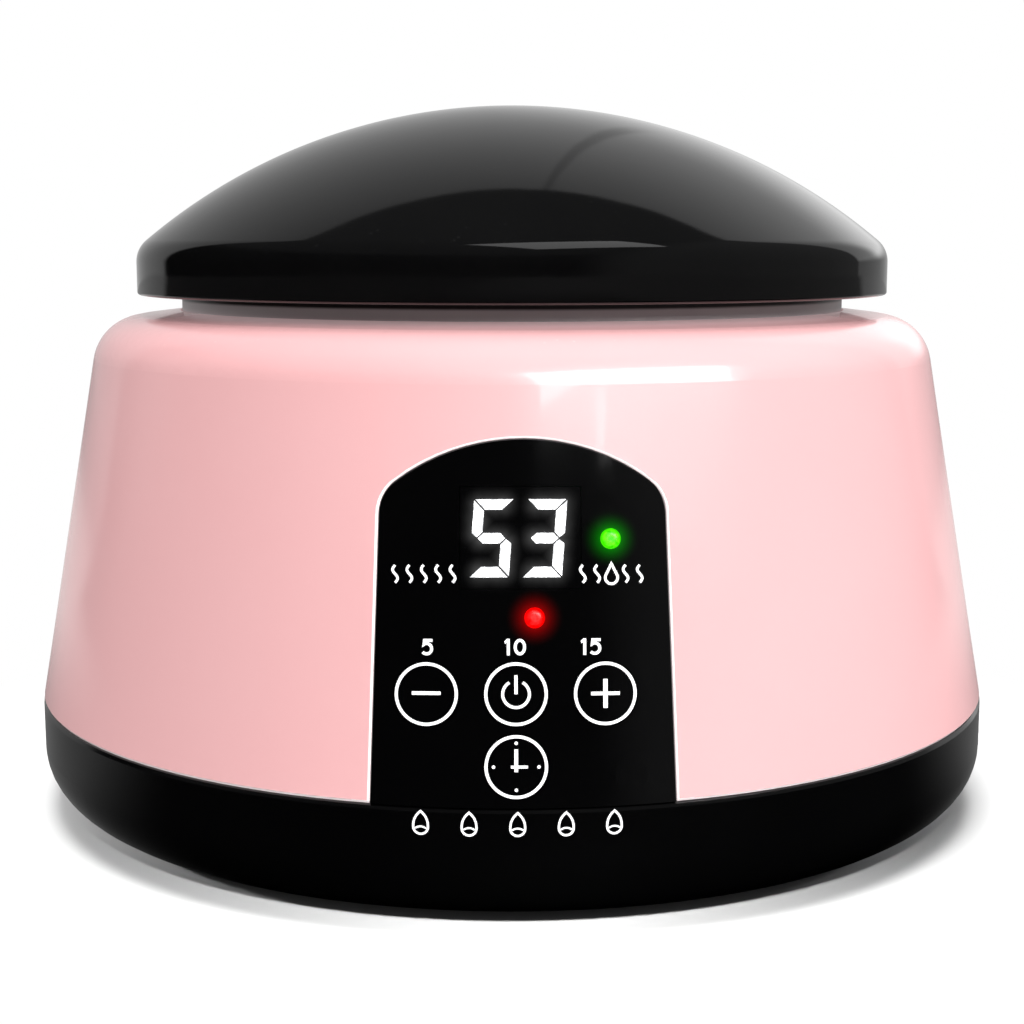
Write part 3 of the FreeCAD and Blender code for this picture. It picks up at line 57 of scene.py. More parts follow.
def buildCamera(spec):
    camera = bpy.data.cameras.new("mainCamera")
    camera.lens = spec["lens"]
    camera.clip_start = spec["nearest"]
    eye = bpy.data.objects.new("mainCamera", camera)
    turn = math.radians(spec["turn"])
    eye.location = (spec["distance"] * math.sin(turn), -spec["distance"] * math.cos(turn), spec["height"])
    aim = Vector((0, 0, spec["aimHeight"])) - eye.location
    eye.rotation_euler = aim.to_track_quat("-Z", "Y").to_euler()
    scene.collection.objects.link(eye)
    scene.camera = eye


buildCamera(cameraSpec)


# node helpers

def addNode(tree, kind, values=None, **settings):
    node = tree.nodes.new("ShaderNode" + kind)
    for key, value in settings.items():
        setattr(node, key, value)
    for key, value in (values or {}).items():
        if isinstance(value, bpy.types.NodeSocket):
            tree.links.new(value, node.inputs[key])
        else:
            node.inputs[key].default_value = value
    return node


def maths(tree, operation, first, second=0.0, clamp=False):
    return addNode(tree, "Math", {0: first, 1: second}, operation=operation, use_clamp=clamp).outputs[0]


def ramped(tree, value, low, high, fromLow=0.0, fromHigh=1.0, smooth=False):
    values = {"Value": value, "From Min": fromLow, "From Max": fromHigh, "To Min": low, "To Max": high}
    kind = "SMOOTHSTEP" if smooth else "LINEAR"
    return addNode(tree, "MapRange", values, interpolation_type=kind).outputs["Result"]


def rising(tree, value, span):
    return ramped(tree, value, 0.0, 1.0, *span, True)


def falling(tree, value, span):
    return ramped(tree, value, 1.0, 0.0, *span, True)


def times(tree, first, second):
    return maths(tree, "MULTIPLY", first, second)


def mixed(tree, factor, first, second):
    return addNode(tree, "Mix", {0: factor, 6: first, 7: second}, data_type="RGBA").outputs[2]


def newGroup(name, inputs, outputs):
    group = bpy.data.node_groups.new(name, "ShaderNodeTree")
    for label, start in inputs.items():
        kind = "NodeSocketVector" if start is None else "NodeSocketFloat"
        socket = group.interface.new_socket(name=label, in_out="INPUT", socket_type=kind)
        if start is not None:
            socket.default_value = start
    for label in outputs:
        group.interface.new_socket(name=label, in_out="OUTPUT", socket_type="NodeSocketFloat")
    given = group.nodes.new("NodeGroupInput").outputs
    taken = group.nodes.new("NodeGroupOutput").inputs
    return group, given, taken


def placeGroup(tree, group, values):
    return addNode(tree, "Group", values, node_tree=group).outputs


def inMetres(sizes):
    return [size * mm for size in sizes]


sliver = 0.001  # keeps a division off zero


# shared effects

def buildMouldedSkin():
    group, given, taken = newGroup("mouldedSkin", {"Vector": None, "Ripple Scale": 140.0,
                                                   "Grain Scale": 2600.0, "Grain Share": 0.2},
                                   ("Height", "Mottle"))
    ripple = addNode(group, "TexNoise", {"Vector": given["Vector"], "Scale": given["Ripple Scale"],
                                         "Detail": 2.0, "Roughness": 0.45})
    grain = addNode(group, "TexNoise", {"Vector": given["Vector"], "Scale": given["Grain Scale"],
                                        "Detail": 3.0})
    broad = addNode(group, "TexNoise", {"Vector": given["Vector"], "Scale": 21.0, "Detail": 3.0,
                                        "Roughness": 0.55})
    share = times(group, grain.outputs["Fac"], given["Grain Share"])
    group.links.new(maths(group, "ADD", ripple.outputs["Fac"], share), taken["Height"])
    group.links.new(rising(group, broad.outputs["Fac"], (0.3, 0.7)), taken["Mottle"])
    return group


def buildSettledDust():
    group, given, taken = newGroup("settledDust", {"Vector": None, "Speck Scale": 420.0, "Amount": 0.5},
                                   ("Mask", "Film"))
    specks = addNode(group, "TexVoronoi", {"Vector": given["Vector"], "Scale": given["Speck Scale"]})
    dots = falling(group, specks.outputs["Distance"], (0.05, 0.14))
    patches = addNode(group, "TexNoise", {"Vector": given["Vector"], "Scale": 34.0, "Detail": 4.0})
    patchy = rising(group, patches.outputs["Fac"], (0.42, 0.8))
    facing = addNode(group, "SeparateXYZ", {0: addNode(group, "NewGeometry").outputs["Normal"]})
    upward = ramped(group, facing.outputs["Z"], 0.15, 1.0, 0.1, 0.9, True)
    spread = times(group, times(group, dots, patchy), upward)
    group.links.new(times(group, spread, given["Amount"]), taken["Mask"])
    group.links.new(times(group, patchy, upward), taken["Film"])
    return group


def buildPanelPlace(spec):
    group, given, taken = newGroup("panelPlace", {"Vector": None}, ("Across", "Up"))
    apart = addNode(group, "SeparateXYZ", {0: given["Vector"]}).outputs
    slope = math.radians(spec["slope"])
    inward = maths(group, "ADD", apart["Y"], spec["seamRadius"] * mm)
    upward = maths(group, "SUBTRACT", apart["Z"], spec["seamHeight"] * mm)
    along = maths(group, "ADD", times(group, inward, math.sin(slope)), times(group, upward, math.cos(slope)))
    group.links.new(maths(group, "DIVIDE", apart["X"], mm), taken["Across"])
    group.links.new(maths(group, "DIVIDE", along, mm), taken["Up"])
    return group


def buildSoftGlow():
    group, given, taken = newGroup("softGlow", {"Across": 0.0, "Up": 0.0, "Centre Across": 0.0,
                                                "Centre Up": 0.0, "Half Width": 1.0, "Half Height": 1.0,
                                                "Fade": 1.0}, ("Mask",))
    reach = []
    for along, centre, half in (("Across", "Centre Across", "Half Width"),
                                ("Up", "Centre Up", "Half Height")):
        away = maths(group, "ABSOLUTE", maths(group, "SUBTRACT", given[along], given[centre]))
        over = maths(group, "MAXIMUM", maths(group, "SUBTRACT", away, given[half]), 0.0)
        reach.append(times(group, over, over))
    distance = maths(group, "SQRT", maths(group, "ADD", reach[0], reach[1]))
    near = maths(group, "SUBTRACT", 1.0, maths(group, "DIVIDE", distance, given["Fade"]), clamp=True)
    group.links.new(maths(group, "POWER", near, 3.0), taken["Mask"])
    return group


def buildSpunRings():
    group, given, taken = newGroup("spunRings", {"Vector": None, "Ring Scale": 900.0}, ("Height", "Streak"))
    apart = addNode(group, "SeparateXYZ", {0: given["Vector"]}).outputs
    squares = maths(group, "ADD", times(group, apart["X"], apart["X"]), times(group, apart["Y"], apart["Y"]))
    spun = addNode(group, "CombineXYZ", {"X": maths(group, "SQRT", squares), "Y": apart["Z"]}).outputs[0]
    grooves = addNode(group, "TexNoise", {"Vector": spun, "Scale": given["Ring Scale"], "Detail": 4.0})
    broad = addNode(group, "TexNoise", {"Vector": spun, "Scale": 160.0, "Detail": 2.0})
    group.links.new(grooves.outputs["Fac"], taken["Height"])
    group.links.new(broad.outputs["Fac"], taken["Streak"])
    return group


panelSpec = {"seamRadius": 95.0, "seamHeight": 22.0, "slope": 10.0, "recess": 0.25}

skinGroup = buildMouldedSkin()
dustGroup = buildSettledDust()
placeOnPanel = buildPanelPlace(panelSpec)
glowGroup = buildSoftGlow()
ringsGroup = buildSpunRings()
print("effects built")


# materials

def newMaterial(name):
    material = bpy.data.materials.new(name)
    material.use_nodes = True
    tree = material.node_tree
    tree.nodes.clear()
    shader = addNode(tree, "BsdfPrincipled")
    addNode(tree, "OutputMaterial", {"Surface": shader.outputs["BSDF"]})
    place = addNode(tree, "TexCoord").outputs["Object"]
    return material, tree, shader.inputs, place


def bump(tree, height, strength, distance):
    values = {"Strength": strength, "Distance": distance, "Height": height}
    return addNode(tree, "Bump", values).outputs["Normal"]


def plastic(name, spec):
    material, tree, sockets, place = newMaterial(name)
    skin = placeGroup(tree, skinGroup, {
        "Vector": place, "Ripple Scale": spec["rippleScale"], "Grain Scale": spec["grainScale"],
        "Grain Share": spec["grainShare"]})
    dust = placeGroup(tree, dustGroup, {"Vector": place, "Amount": spec["dust"]})
    body = mixed(tree, skin["Mottle"], spec["colour"], spec["shade"])
    tree.links.new(mixed(tree, dust["Mask"], body, spec["dustColour"]), sockets["Base Color"])
    rough = ramped(tree, skin["Mottle"], *spec["roughness"])
    rough = maths(tree, "ADD", rough, times(tree, dust["Film"], spec["film"]))
    tree.links.new(rough, sockets["Roughness"])
    tree.links.new(bump(tree, skin["Height"], spec["bump"], spec["depth"]), sockets["Normal"])
    sockets["IOR"].default_value = spec["ior"]
    sockets["Coat Weight"].default_value = spec["coat"]
    sockets["Coat Roughness"].default_value = spec["coatRoughness"]
    return material, tree, sockets, place


glossBlack = {"colour": (0.0008, 0.0008, 0.0009, 1), "shade": (0.0012, 0.0012, 0.0013, 1),
              "rippleScale": 120.0, "grainScale": 2600.0, "grainShare": 0.1, "dust": 0.3,
              "dustColour": (0.05, 0.05, 0.05, 1), "roughness": (0.045, 0.075), "film": 0.03,
              "bump": 0.05, "depth": 0.0003, "ior": 1.5, "coat": 0.0, "coatRoughness": 0.05}

# the pink shell, with a painted highlight on its edges and a painted glow on its deck
pinkSpec = dict(glossBlack, colour=(0.75, 0.408, 0.415, 1), shade=(0.755, 0.418, 0.425, 1),
                dustColour=(0.9, 0.72, 0.72, 1), dust=0.25, roughness=(0.22, 0.255), film=0.0, coat=0.5,
                rim=(1.0, 0.88, 0.88, 1), rimFrom=(22.6, 22.9), archTurn=(0.93, 0.995), archFront=-60.0,
                archHalf=27.5, archTop=81.5, deck=(1.0, 0.74, 0.75, 1), deckFrom=(96.4, 97.4), glow=0.25)


def pinkShellMaterial(spec):
    material, tree, sockets, place = plastic("pinkShellGloss", spec)
    apart = addNode(tree, "SeparateXYZ", {0: place}).outputs
    lowEdge = falling(tree, apart["Z"], inMetres(spec["rimFrom"]))
    # painted highlight: the seam's low edge and the rounded arch edge, where the surface turns away from the
    # cone, are painted pale
    slope = math.radians(panelSpec["slope"])
    flat = addNode(tree, "CombineXYZ", {"X": apart["X"], "Y": apart["Y"]}).outputs[0]
    outward = addNode(tree, "VectorMath", {0: flat}, operation="NORMALIZE").outputs[0]
    leaning = addNode(tree, "VectorMath", {0: outward, 3: math.cos(slope)}, operation="SCALE").outputs[0]
    cone = addNode(tree, "VectorMath", {0: leaning, 1: (0, 0, math.sin(slope))}, operation="ADD").outputs[0]
    facing = addNode(tree, "NewGeometry").outputs["Normal"]
    agree = addNode(tree, "VectorMath", {0: cone, 1: facing}, operation="DOT_PRODUCT").outputs["Value"]
    rounded = falling(tree, agree, spec["archTurn"])
    frontal = maths(tree, "LESS_THAN", apart["Y"], spec["archFront"] * mm)
    narrow = maths(tree, "LESS_THAN", maths(tree, "ABSOLUTE", apart["X"]), spec["archHalf"] * mm)
    below = maths(tree, "LESS_THAN", apart["Z"], spec["archTop"] * mm)
    archEdge = times(tree, times(tree, rounded, frontal), times(tree, narrow, below))
    paintedEdgeHighlight = maths(tree, "MAXIMUM", lowEdge, archEdge)
    dusted = sockets["Base Color"].links[0].from_socket
    tree.links.new(mixed(tree, paintedEdgeHighlight, dusted, spec["rim"]), sockets["Base Color"])
    # painted light: the deck and the painted edge highlight glow through emission, though nothing there is a
    # lamp
    deck = rising(tree, apart["Z"], inMetres(spec["deckFrom"]))
    paintedDeckGlow = mixed(tree, deck, (0, 0, 0, 1), spec["deck"])
    tree.links.new(mixed(tree, paintedEdgeHighlight, paintedDeckGlow, spec["rim"]), sockets["Emission Color"])
    sockets["Emission Strength"].default_value = spec["glow"]
    return material


def simplePlastic(name, **changes):
    return plastic(name, dict(glossBlack, **changes))[0]


digitSpec = {"width": 6.35, "height": 12.4, "stroke": 1.66, "gap": 0.17, "lean": 4.3, "low": 36.9,
             "places": (-8.65, -0.2), "shown": ("afgcd", "abgcd"), "lift": 0.03, "sink": 0.05,
             "lit": (0.93, 0.94, 0.96, 1), "core": (0.98, 0.99, 1.0, 1), "body": (0.02, 0.02, 0.02, 1),
             "glow": (0.115, 0.115, 0.115, 1), "fade": 2.8}


def litSpots(spec):
    w, h, t = spec["width"], spec["height"], spec["stroke"]
    left, middle, right, upper = t / 2, w / 2, w - t / 2, h * 0.75
    wide, tall = w / 2 - t, h / 4 - t / 2
    spots = {"a": (middle, h - t / 2, wide, 0), "g": (middle, h / 2, wide, 0), "d": (middle, t / 2, wide, 0),
             "f": (left, upper, 0, tall), "b": (right, upper, 0, tall), "c": (right, h / 4, 0, tall)}
    return [(start + spots[key][0], spec["low"] + spots[key][1], *spots[key][2:])
            for start, shown in zip(spec["places"], spec["shown"]) for key in shown]


def buildDigitGlow(spec):
    group, given, taken = newGroup("digitGlow", {"Across": 0.0, "Up": 0.0}, ("Mask",))
    lift = maths(group, "SUBTRACT", given["Up"], spec["low"])
    upright = maths(group, "SUBTRACT", given["Across"],
                    times(group, lift, math.tan(math.radians(spec["lean"]))))
    total = 0.0
    for across, up, halfWidth, halfHeight in litSpots(spec):
        mask = placeGroup(group, glowGroup, {
            "Across": upright, "Up": given["Up"], "Centre Across": across, "Centre Up": up,
            "Half Width": halfWidth, "Half Height": halfHeight,
            "Fade": spec["fade"] + spec["stroke"] / 2})["Mask"]
        total = maths(group, "MAXIMUM", mask, total)
    group.links.new(total, taken["Mask"])
    return group


digitGlowGroup = buildDigitGlow(digitSpec)
# the lamps' own light, and the halo colours painted round them on the panel
ledSpec = {
    "greenLamp": {"across": 14.0, "up": 43.0, "lit": (0.05, 0.82, 0.0, 1), "core": (0.085, 0.88, 0.004, 1),
                  "body": (0.0, 0.02, 0.0, 1), "halo": (0.0, 0.55, 0.0, 1)},
    "redLamp": {"across": 1.8, "up": 30.45, "lit": (0.9, 0.0, 0.0, 1), "core": (0.98, 0.003, 0.003, 1),
                "body": (0.02, 0.0, 0.0, 1), "halo": (0.8, 0.0, 0.0, 1)},
    "radius": 1.6, "haloFade": 3.4}


# painted glow: where the digits' halo is painted, in the panel's own frame
def paintedDigitHalo(tree, place):
    spot = placeGroup(tree, placeOnPanel, {"Vector": place})
    paintedHalo = placeGroup(tree, digitGlowGroup, {"Across": spot["Across"], "Up": spot["Up"]})["Mask"]
    return spot, paintedHalo


def controlPanelMaterial():
    material, tree, sockets, place = plastic("panelGlossBlack", dict(glossBlack, dust=0.2))
    spot, paintedHalo = paintedDigitHalo(tree, place)
    # painted glow: the digits' and the lamps' halos are painted onto the panel as emission
    glow = (0.0, 0.0, 0.0, 1)
    for lamp in ("greenLamp", "redLamp"):
        mask = placeGroup(tree, glowGroup, {
            "Across": spot["Across"], "Up": spot["Up"], "Centre Across": ledSpec[lamp]["across"],
            "Centre Up": ledSpec[lamp]["up"], "Half Width": 0.0, "Half Height": 0.0,
            "Fade": ledSpec["radius"] + ledSpec["haloFade"]})["Mask"]
        glow = mixed(tree, mask, glow, ledSpec[lamp]["halo"])
    tree.links.new(mixed(tree, paintedHalo, glow, digitSpec["glow"]), sockets["Emission Color"])
    sockets["Emission Strength"].default_value = 1.0
    return material


windowSpec = dict(glossBlack, dust=0.1, cloudScale=420.0, haloShare=(0.6, 1.0), haloFrom=(0.3, 0.7))


def windowMaterial(spec):
    material, tree, sockets, place = plastic("displayWindowSmoke", spec)
    # painted glow: the digits' halo is painted onto the window's face as emission, made uneven by a cloud
    paintedHalo = paintedDigitHalo(tree, place)[1]
    cloud = addNode(tree, "TexNoise", {"Vector": place, "Scale": spec["cloudScale"], "Detail": 2.0})
    share = ramped(tree, cloud.outputs["Fac"], *spec["haloShare"], *spec["haloFrom"])
    unevenPaintedHalo = times(tree, paintedHalo, share)
    tree.links.new(mixed(tree, unevenPaintedHalo, (0, 0, 0, 1), digitSpec["glow"]), sockets["Emission Color"])
    sockets["Emission Strength"].default_value = 1.0
    return material


glowFinish = {"cloudScale": 1400.0, "coreFrom": (0.35, 0.65), "roughness": (0.3, 0.38), "bump": 0.1,
              "depth": 0.00003}


def glowing(name, spec):
    material, tree, sockets, place = newMaterial(name)
    noise = addNode(tree, "TexNoise", {"Vector": place, "Scale": glowFinish["cloudScale"], "Detail": 2.0})
    cloud = noise.outputs["Fac"]
    even = rising(tree, cloud, glowFinish["coreFrom"])
    tree.links.new(mixed(tree, even, spec["lit"], spec["core"]), sockets["Emission Color"])
    tree.links.new(mixed(tree, even, spec["body"], spec["core"]), sockets["Base Color"])
    tree.links.new(ramped(tree, cloud, *glowFinish["roughness"]), sockets["Roughness"])
    tree.links.new(bump(tree, cloud, glowFinish["bump"], glowFinish["depth"]), sockets["Normal"])
    sockets["Emission Strength"].default_value = 1.0
    return material


inkSpec = {"scale": 3200.0, "full": (0.93, 0.93, 0.93, 1), "thin": (0.84, 0.84, 0.85, 1),
           "thinFrom": (0.35, 0.75), "glow": (0.92, 0.92, 0.92, 1), "thinGlow": (0.8, 0.8, 0.8, 1),
           "roughness": (0.4, 0.55), "bump": 0.2, "depth": 0.00002, "strength": 0.35}


def printMaterial(spec):
    material, tree, sockets, place = newMaterial("whitePrint")
    ink = addNode(tree, "TexNoise", {"Vector": place, "Scale": spec["scale"], "Detail": 3.0}).outputs["Fac"]
    thin = rising(tree, ink, spec["thinFrom"])
    tree.links.new(mixed(tree, thin, spec["full"], spec["thin"]), sockets["Base Color"])
    # painted light: the print glows a little through emission, though it is no lamp
    tree.links.new(mixed(tree, thin, spec["glow"], spec["thinGlow"]), sockets["Emission Color"])
    tree.links.new(ramped(tree, ink, *spec["roughness"]), sockets["Roughness"])
    tree.links.new(bump(tree, ink, spec["bump"], spec["depth"]), sockets["Normal"])
    sockets["Emission Strength"].default_value = spec["strength"]
    return material


def metal(name, spec, depth=0.00005):
    material, tree, sockets, place = newMaterial(name)
    rings = placeGroup(tree, ringsGroup, {"Vector": place, "Ring Scale": spec["rings"]})
    tree.links.new(mixed(tree, rings["Streak"], spec["colour"], spec["shade"]), sockets["Base Color"])
    tree.links.new(ramped(tree, rings["Streak"], *spec["roughness"]), sockets["Roughness"])
    tree.links.new(bump(tree, rings["Height"], spec["bump"], depth), sockets["Normal"])
    sockets["Metallic"].default_value = 1.0
    return material


rubberFinish = dict(glossBlack, rippleScale=500.0, grainScale=5200.0, grainShare=0.9, bump=0.25,
                    depth=0.00008, film=0.05, dustColour=(0.35, 0.35, 0.35, 1), specular=0.35)


def rubbery(name, colour, shade, roughness):
    spec = dict(rubberFinish, colour=colour, shade=shade, roughness=roughness)
    material, _, sockets, _ = plastic(name, spec)
    sockets["Specular IOR Level"].default_value = spec["specular"]
    return material


boardSpec = {"scale": 260.0, "gap": 0.012, "bias": 0.2, "mask": (0.010, 0.10, 0.035, 1),
             "paler": (0.014, 0.13, 0.045, 1), "trace": (0.03, 0.22, 0.08, 1), "weaveScale": 1500.0,
             "roughness": (0.3, 0.42), "bump": 0.15, "depth": 0.00003}


def boardMaterial(spec):
    material, tree, sockets, place = newMaterial("boardSolderMask")
    traces = addNode(tree, "TexBrick", {"Vector": place, "Scale": spec["scale"], "Mortar Size": spec["gap"],
                                        "Bias": spec["bias"], "Color1": spec["mask"],
                                        "Color2": spec["paler"], "Mortar": spec["trace"]})
    weave = addNode(tree, "TexNoise", {"Vector": place, "Scale": spec["weaveScale"], "Detail": 2.0})
    tree.links.new(traces.outputs["Color"], sockets["Base Color"])
    tree.links.new(ramped(tree, weave.outputs["Fac"], *spec["roughness"]), sockets["Roughness"])
    tree.links.new(bump(tree, weave.outputs["Fac"], spec["bump"], spec["depth"]), sockets["Normal"])
    return material


satinBlack = {"colour": (0.014, 0.014, 0.0145, 1), "shade": (0.019, 0.019, 0.0195, 1),
              "roughness": (0.32, 0.42), "rippleScale": 900.0, "grainScale": 4200.0, "grainShare": 0.8,
              "bump": 0.18, "depth": 0.00006, "film": 0.08}

# the collar's grey, with painted shade under the lid and painted bounce light at its foot
collarSpec = dict(glossBlack, colour=(0.34, 0.325, 0.33, 1), shade=(0.38, 0.365, 0.37, 1),
                  roughness=(0.30, 0.36), dust=0.2, dustColour=(0.3, 0.3, 0.3, 1),
                  paintedLidShade=(0.004, 0.004, 0.004, 1), paintedShadeFrom=(99.3, 99.9), paintedBounce=(0.62, 0.52, 0.54, 1),
                  paintedBounceUnder=(96.8, 98.4), inside=(0.035, 0.034, 0.035, 1), insideFrom=(64.2, 65.2))


def collarMaterial(spec):
    material, tree, sockets, place = plastic("collarDarkGrey", spec)
    height = addNode(tree, "SeparateXYZ", {0: place}).outputs["Z"]
    flat = addNode(tree, "VectorMath", {0: place, 1: (1, 1, 0)}, operation="MULTIPLY").outputs[0]
    reach = addNode(tree, "VectorMath", {0: flat}, operation="LENGTH").outputs["Value"]
    # painted light and shade: the foot takes a pink tone of painted bounce light from the deck, the top goes
    # black as painted shade under the lid; the inside keeps the tub's own dark grey
    low = falling(tree, height, inMetres(spec["paintedBounceUnder"]))
    high = rising(tree, height, inMetres(spec["paintedShadeFrom"]))
    inner = falling(tree, reach, inMetres(spec["insideFrom"]))
    paintedBounceMix = mixed(tree, low, sockets["Base Color"].links[0].from_socket, spec["paintedBounce"])
    outside = mixed(tree, high, paintedBounceMix, spec["paintedLidShade"])
    tree.links.new(mixed(tree, inner, outside, spec["inside"]), sockets["Base Color"])
    return material


finishes = {
    "upper_shell": pinkShellMaterial(pinkSpec),
    "lid_shell": simplePlastic("lidGlossBlack", colour=(0.0034, 0.0034, 0.0036, 1),
                               shade=(0.0048, 0.0048, 0.005, 1)),
    "base_shell": simplePlastic("baseGlossBlack", roughness=(0.12, 0.17), film=0.04, dust=0.25),
    "control_panel": controlPanelMaterial(),
    "display_window": windowMaterial(windowSpec),
    "led_green": glowing("greenLampLens", ledSpec["greenLamp"]),
    "led_red": glowing("redLampLens", ledSpec["redLamp"]),
    "board": boardMaterial(boardSpec),
    "print": printMaterial(inkSpec),
    "keys": simplePlastic("keyGlossBlack", dust=0.15),
    "satin": simplePlastic("innerSatinBlack", **satinBlack),
    "collar": collarMaterial(collarSpec),
    "silicone": rubbery("softSilicone", (0.10, 0.10, 0.105, 1), (0.13, 0.13, 0.135, 1), (0.5, 0.62)),
    "feet": rubbery("footRubber", (0.02, 0.02, 0.02, 1), (0.03, 0.03, 0.03, 1), (0.65, 0.8)),
    "leads": rubbery("leadSleeve", (0.62, 0.62, 0.60, 1), (0.70, 0.70, 0.67, 1), (0.5, 0.6)),
    "ribbon": rubbery("ribbonGrey", (0.30, 0.30, 0.31, 1), (0.38, 0.38, 0.39, 1), (0.45, 0.55)),
    "bowl": metal("spunAluminium", {"colour": (0.74, 0.75, 0.76, 1), "shade": (0.82, 0.83, 0.84, 1),
                                    "roughness": (0.19, 0.262), "rings": 1500.0, "bump": 0.3}),
    "plate": metal("machinedAluminium", {"colour": (0.62, 0.63, 0.64, 1), "shade": (0.70, 0.71, 0.72, 1),
                                         "roughness": (0.3, 0.42), "rings": 2600.0, "bump": 0.4}),
    "steel": metal("zincSteel", {"colour": (0.55, 0.55, 0.54, 1), "shade": (0.66, 0.65, 0.62, 1),
                                 "roughness": (0.28, 0.4), "rings": 3000.0, "bump": 0.3}),
    "pins": metal("nickelPins", {"colour": (0.66, 0.62, 0.54, 1), "shade": (0.74, 0.71, 0.64, 1),
                                 "roughness": (0.15, 0.25), "rings": 3000.0, "bump": 0.15}),
    "parts": simplePlastic("componentBlack", **dict(satinBlack, roughness=(0.45, 0.6))),
    "terminal": simplePlastic("terminalGreen", **dict(satinBlack, colour=(0.02, 0.20, 0.07, 1),
                                                      shade=(0.03, 0.24, 0.09, 1))),
    "winding": simplePlastic("windingTape", **dict(satinBlack, colour=(0.50, 0.33, 0.05, 1),
                                                   shade=(0.58, 0.40, 0.07, 1))),
}

wornBy = {
    "keys": ["key_minus", "key_power", "key_plus", "key_timer"],
    "satin": ["lid_liner", "finger_tray", "power_inlet"],
    "collar": ["inner_tub"],
    "silicone": ["lid_seal", "deck_gasket", "heater_gasket", "finger_mat"],
    "feet": ["rubber_feet"],
    "leads": ["mains_leads", "heater_leads"],
    "ribbon": ["panel_lead"],
    "bowl": ["steam_bowl"],
    "plate": ["heater_plate", "ptc_heater"],
    "steel": ["heater_clamp", "thermostat", "ntc_sensor", "thermal_fuse", "base_screws", "tub_screws",
              "lid_screws", "clamp_screws", "thermostat_screws", "control_board_screws",
              "power_board_screws"],
    "pins": ["inlet_pins"],
    "board": ["control_board", "power_board"],
    "parts": ["display_module", "led_spacers", "tact_switches", "relay", "smoothing_capacitor",
              "board_fuse"],
    "terminal": ["terminal_block"],
    "winding": ["transformer"],
}


def dressNodes():
    worn = {name: finish for finish, names in wornBy.items() for name in names}
    for name, node in nodes.items():
        finish = finishes[worn.get(name, name)]
        if not node.material_slots:
            node.data.materials.append(finish)
        for slot in node.material_slots:
            slot.link = "OBJECT"
            slot.material = finish


dressNodes()
print("frame dressed")


# printed and lit marks follow the panel's cone or the base's round wall

def onPanel(across, up, lift):
    lean = math.radians(panelSpec["slope"])
    radius = panelSpec["seamRadius"] - up * math.sin(lean)
    depth = (panelSpec["recess"] - lift) / math.cos(lean)
    inward = 0.0
    for _ in range(8):  # more than it needs to settle
        surface = radius + inward * math.sin(lean) * math.tan(lean) - depth
        inward = (radius - math.sqrt(surface * surface - across * across)) / math.cos(lean)
    y = -radius + inward * math.cos(lean)
    z = panelSpec["seamHeight"] + up * math.cos(lean) - inward * math.sin(lean)
    return Vector((across, y, z)) * mm


def onBase(across, height, lift):
    radius = panelSpec["seamRadius"] + lift
    return Vector((across, -math.sqrt(radius * radius - across * across), height)) * mm


def addPolygon(flat, corners):
    flat.faces.new([flat.verts.new((x, y, 0)) for x, y in corners])


def addBand(flat, points, width, closed=False, sharpest=0.5):
    count = len(points)
    sides = []
    for i, (x, y) in enumerate(points):
        before = points[(i - 1) % count] if closed or i else points[i]
        after = points[(i + 1) % count] if closed or i < count - 1 else points[i]
        first = Vector((x - before[0], y - before[1]))
        second = Vector((after[0] - x, after[1] - y))
        first = first if first.length else second
        second = second if second.length else first
        along = (first.normalized() + second.normalized()).normalized()
        half = width / 2 / max(along.dot(first.normalized()), sharpest)
        sides.append([flat.verts.new((x - along.y * half, y + along.x * half, 0)),
                      flat.verts.new((x + along.y * half, y - along.x * half, 0))])
    for near, far in zip(sides, sides[1:] + (sides[:1] if closed else [])):
        flat.faces.new((near[0], near[1], far[1], far[0]))


def line(start, end, steps=6):
    return [(start[0] + (end[0] - start[0]) * i / steps, start[1] + (end[1] - start[1]) * i / steps)
            for i in range(steps + 1)]


def arc(centre, radius, start, end, steps=28, squeeze=1.0):
    spots = []
    for i in range(steps + 1):
        angle = math.radians(start + (end - start) * i / steps)
        spots.append((centre[0] + radius * squeeze * math.cos(angle), centre[1] + radius * math.sin(angle)))
    return spots


def ring(centre, radius, points, squeeze=1.0):
    return arc(centre, radius, 0, 360 - 360 / points, points - 1, squeeze)


def moved(points, centre):
    return [(x + centre[0], y + centre[1]) for x, y in points]


# a flat drawing becomes a closed film that follows the curved face
def pressOn(name, flat, place, spec, material, body):
    reach = int(max(abs(v.co.x) for v in flat.verts)) + 1
    for cut in range(-reach, reach + 1):
        beside = cut + 0.013  # misses the drawing's own corners
        bmesh.ops.bisect_plane(flat, geom=flat.verts[:] + flat.edges[:] + flat.faces[:], dist=1e-5,
                               plane_co=(beside, 0, 0), plane_no=(1, 0, 0))
    mesh = bmesh.new()
    top = {v: mesh.verts.new(place(v.co.x, v.co.y, spec["lift"])) for v in flat.verts}
    low = {v: mesh.verts.new(place(v.co.x, v.co.y, -spec["sink"])) for v in flat.verts}
    for face in flat.faces:
        mesh.faces.new([top[v] for v in face.verts])
        mesh.faces.new([low[v] for v in reversed(face.verts)])
    for edge in flat.edges:
        if len(edge.link_faces) == 1:
            first, second = edge.verts
            mesh.faces.new((top[first], top[second], low[second], low[first]))
    flat.free()
    return finishPiece(mesh, name, material, body)


def finishPiece(mesh, name, material, body):
    bmesh.ops.recalc_face_normals(mesh, faces=mesh.faces)
    data = bpy.data.meshes.new(name)
    mesh.to_mesh(data)
    mesh.free()
    piece = bpy.data.objects.new(name, data)
    data.materials.append(material)
    scene.collection.objects.link(piece)
    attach(piece, body)
    return piece


# key prints: each ring and sign rides on its own key

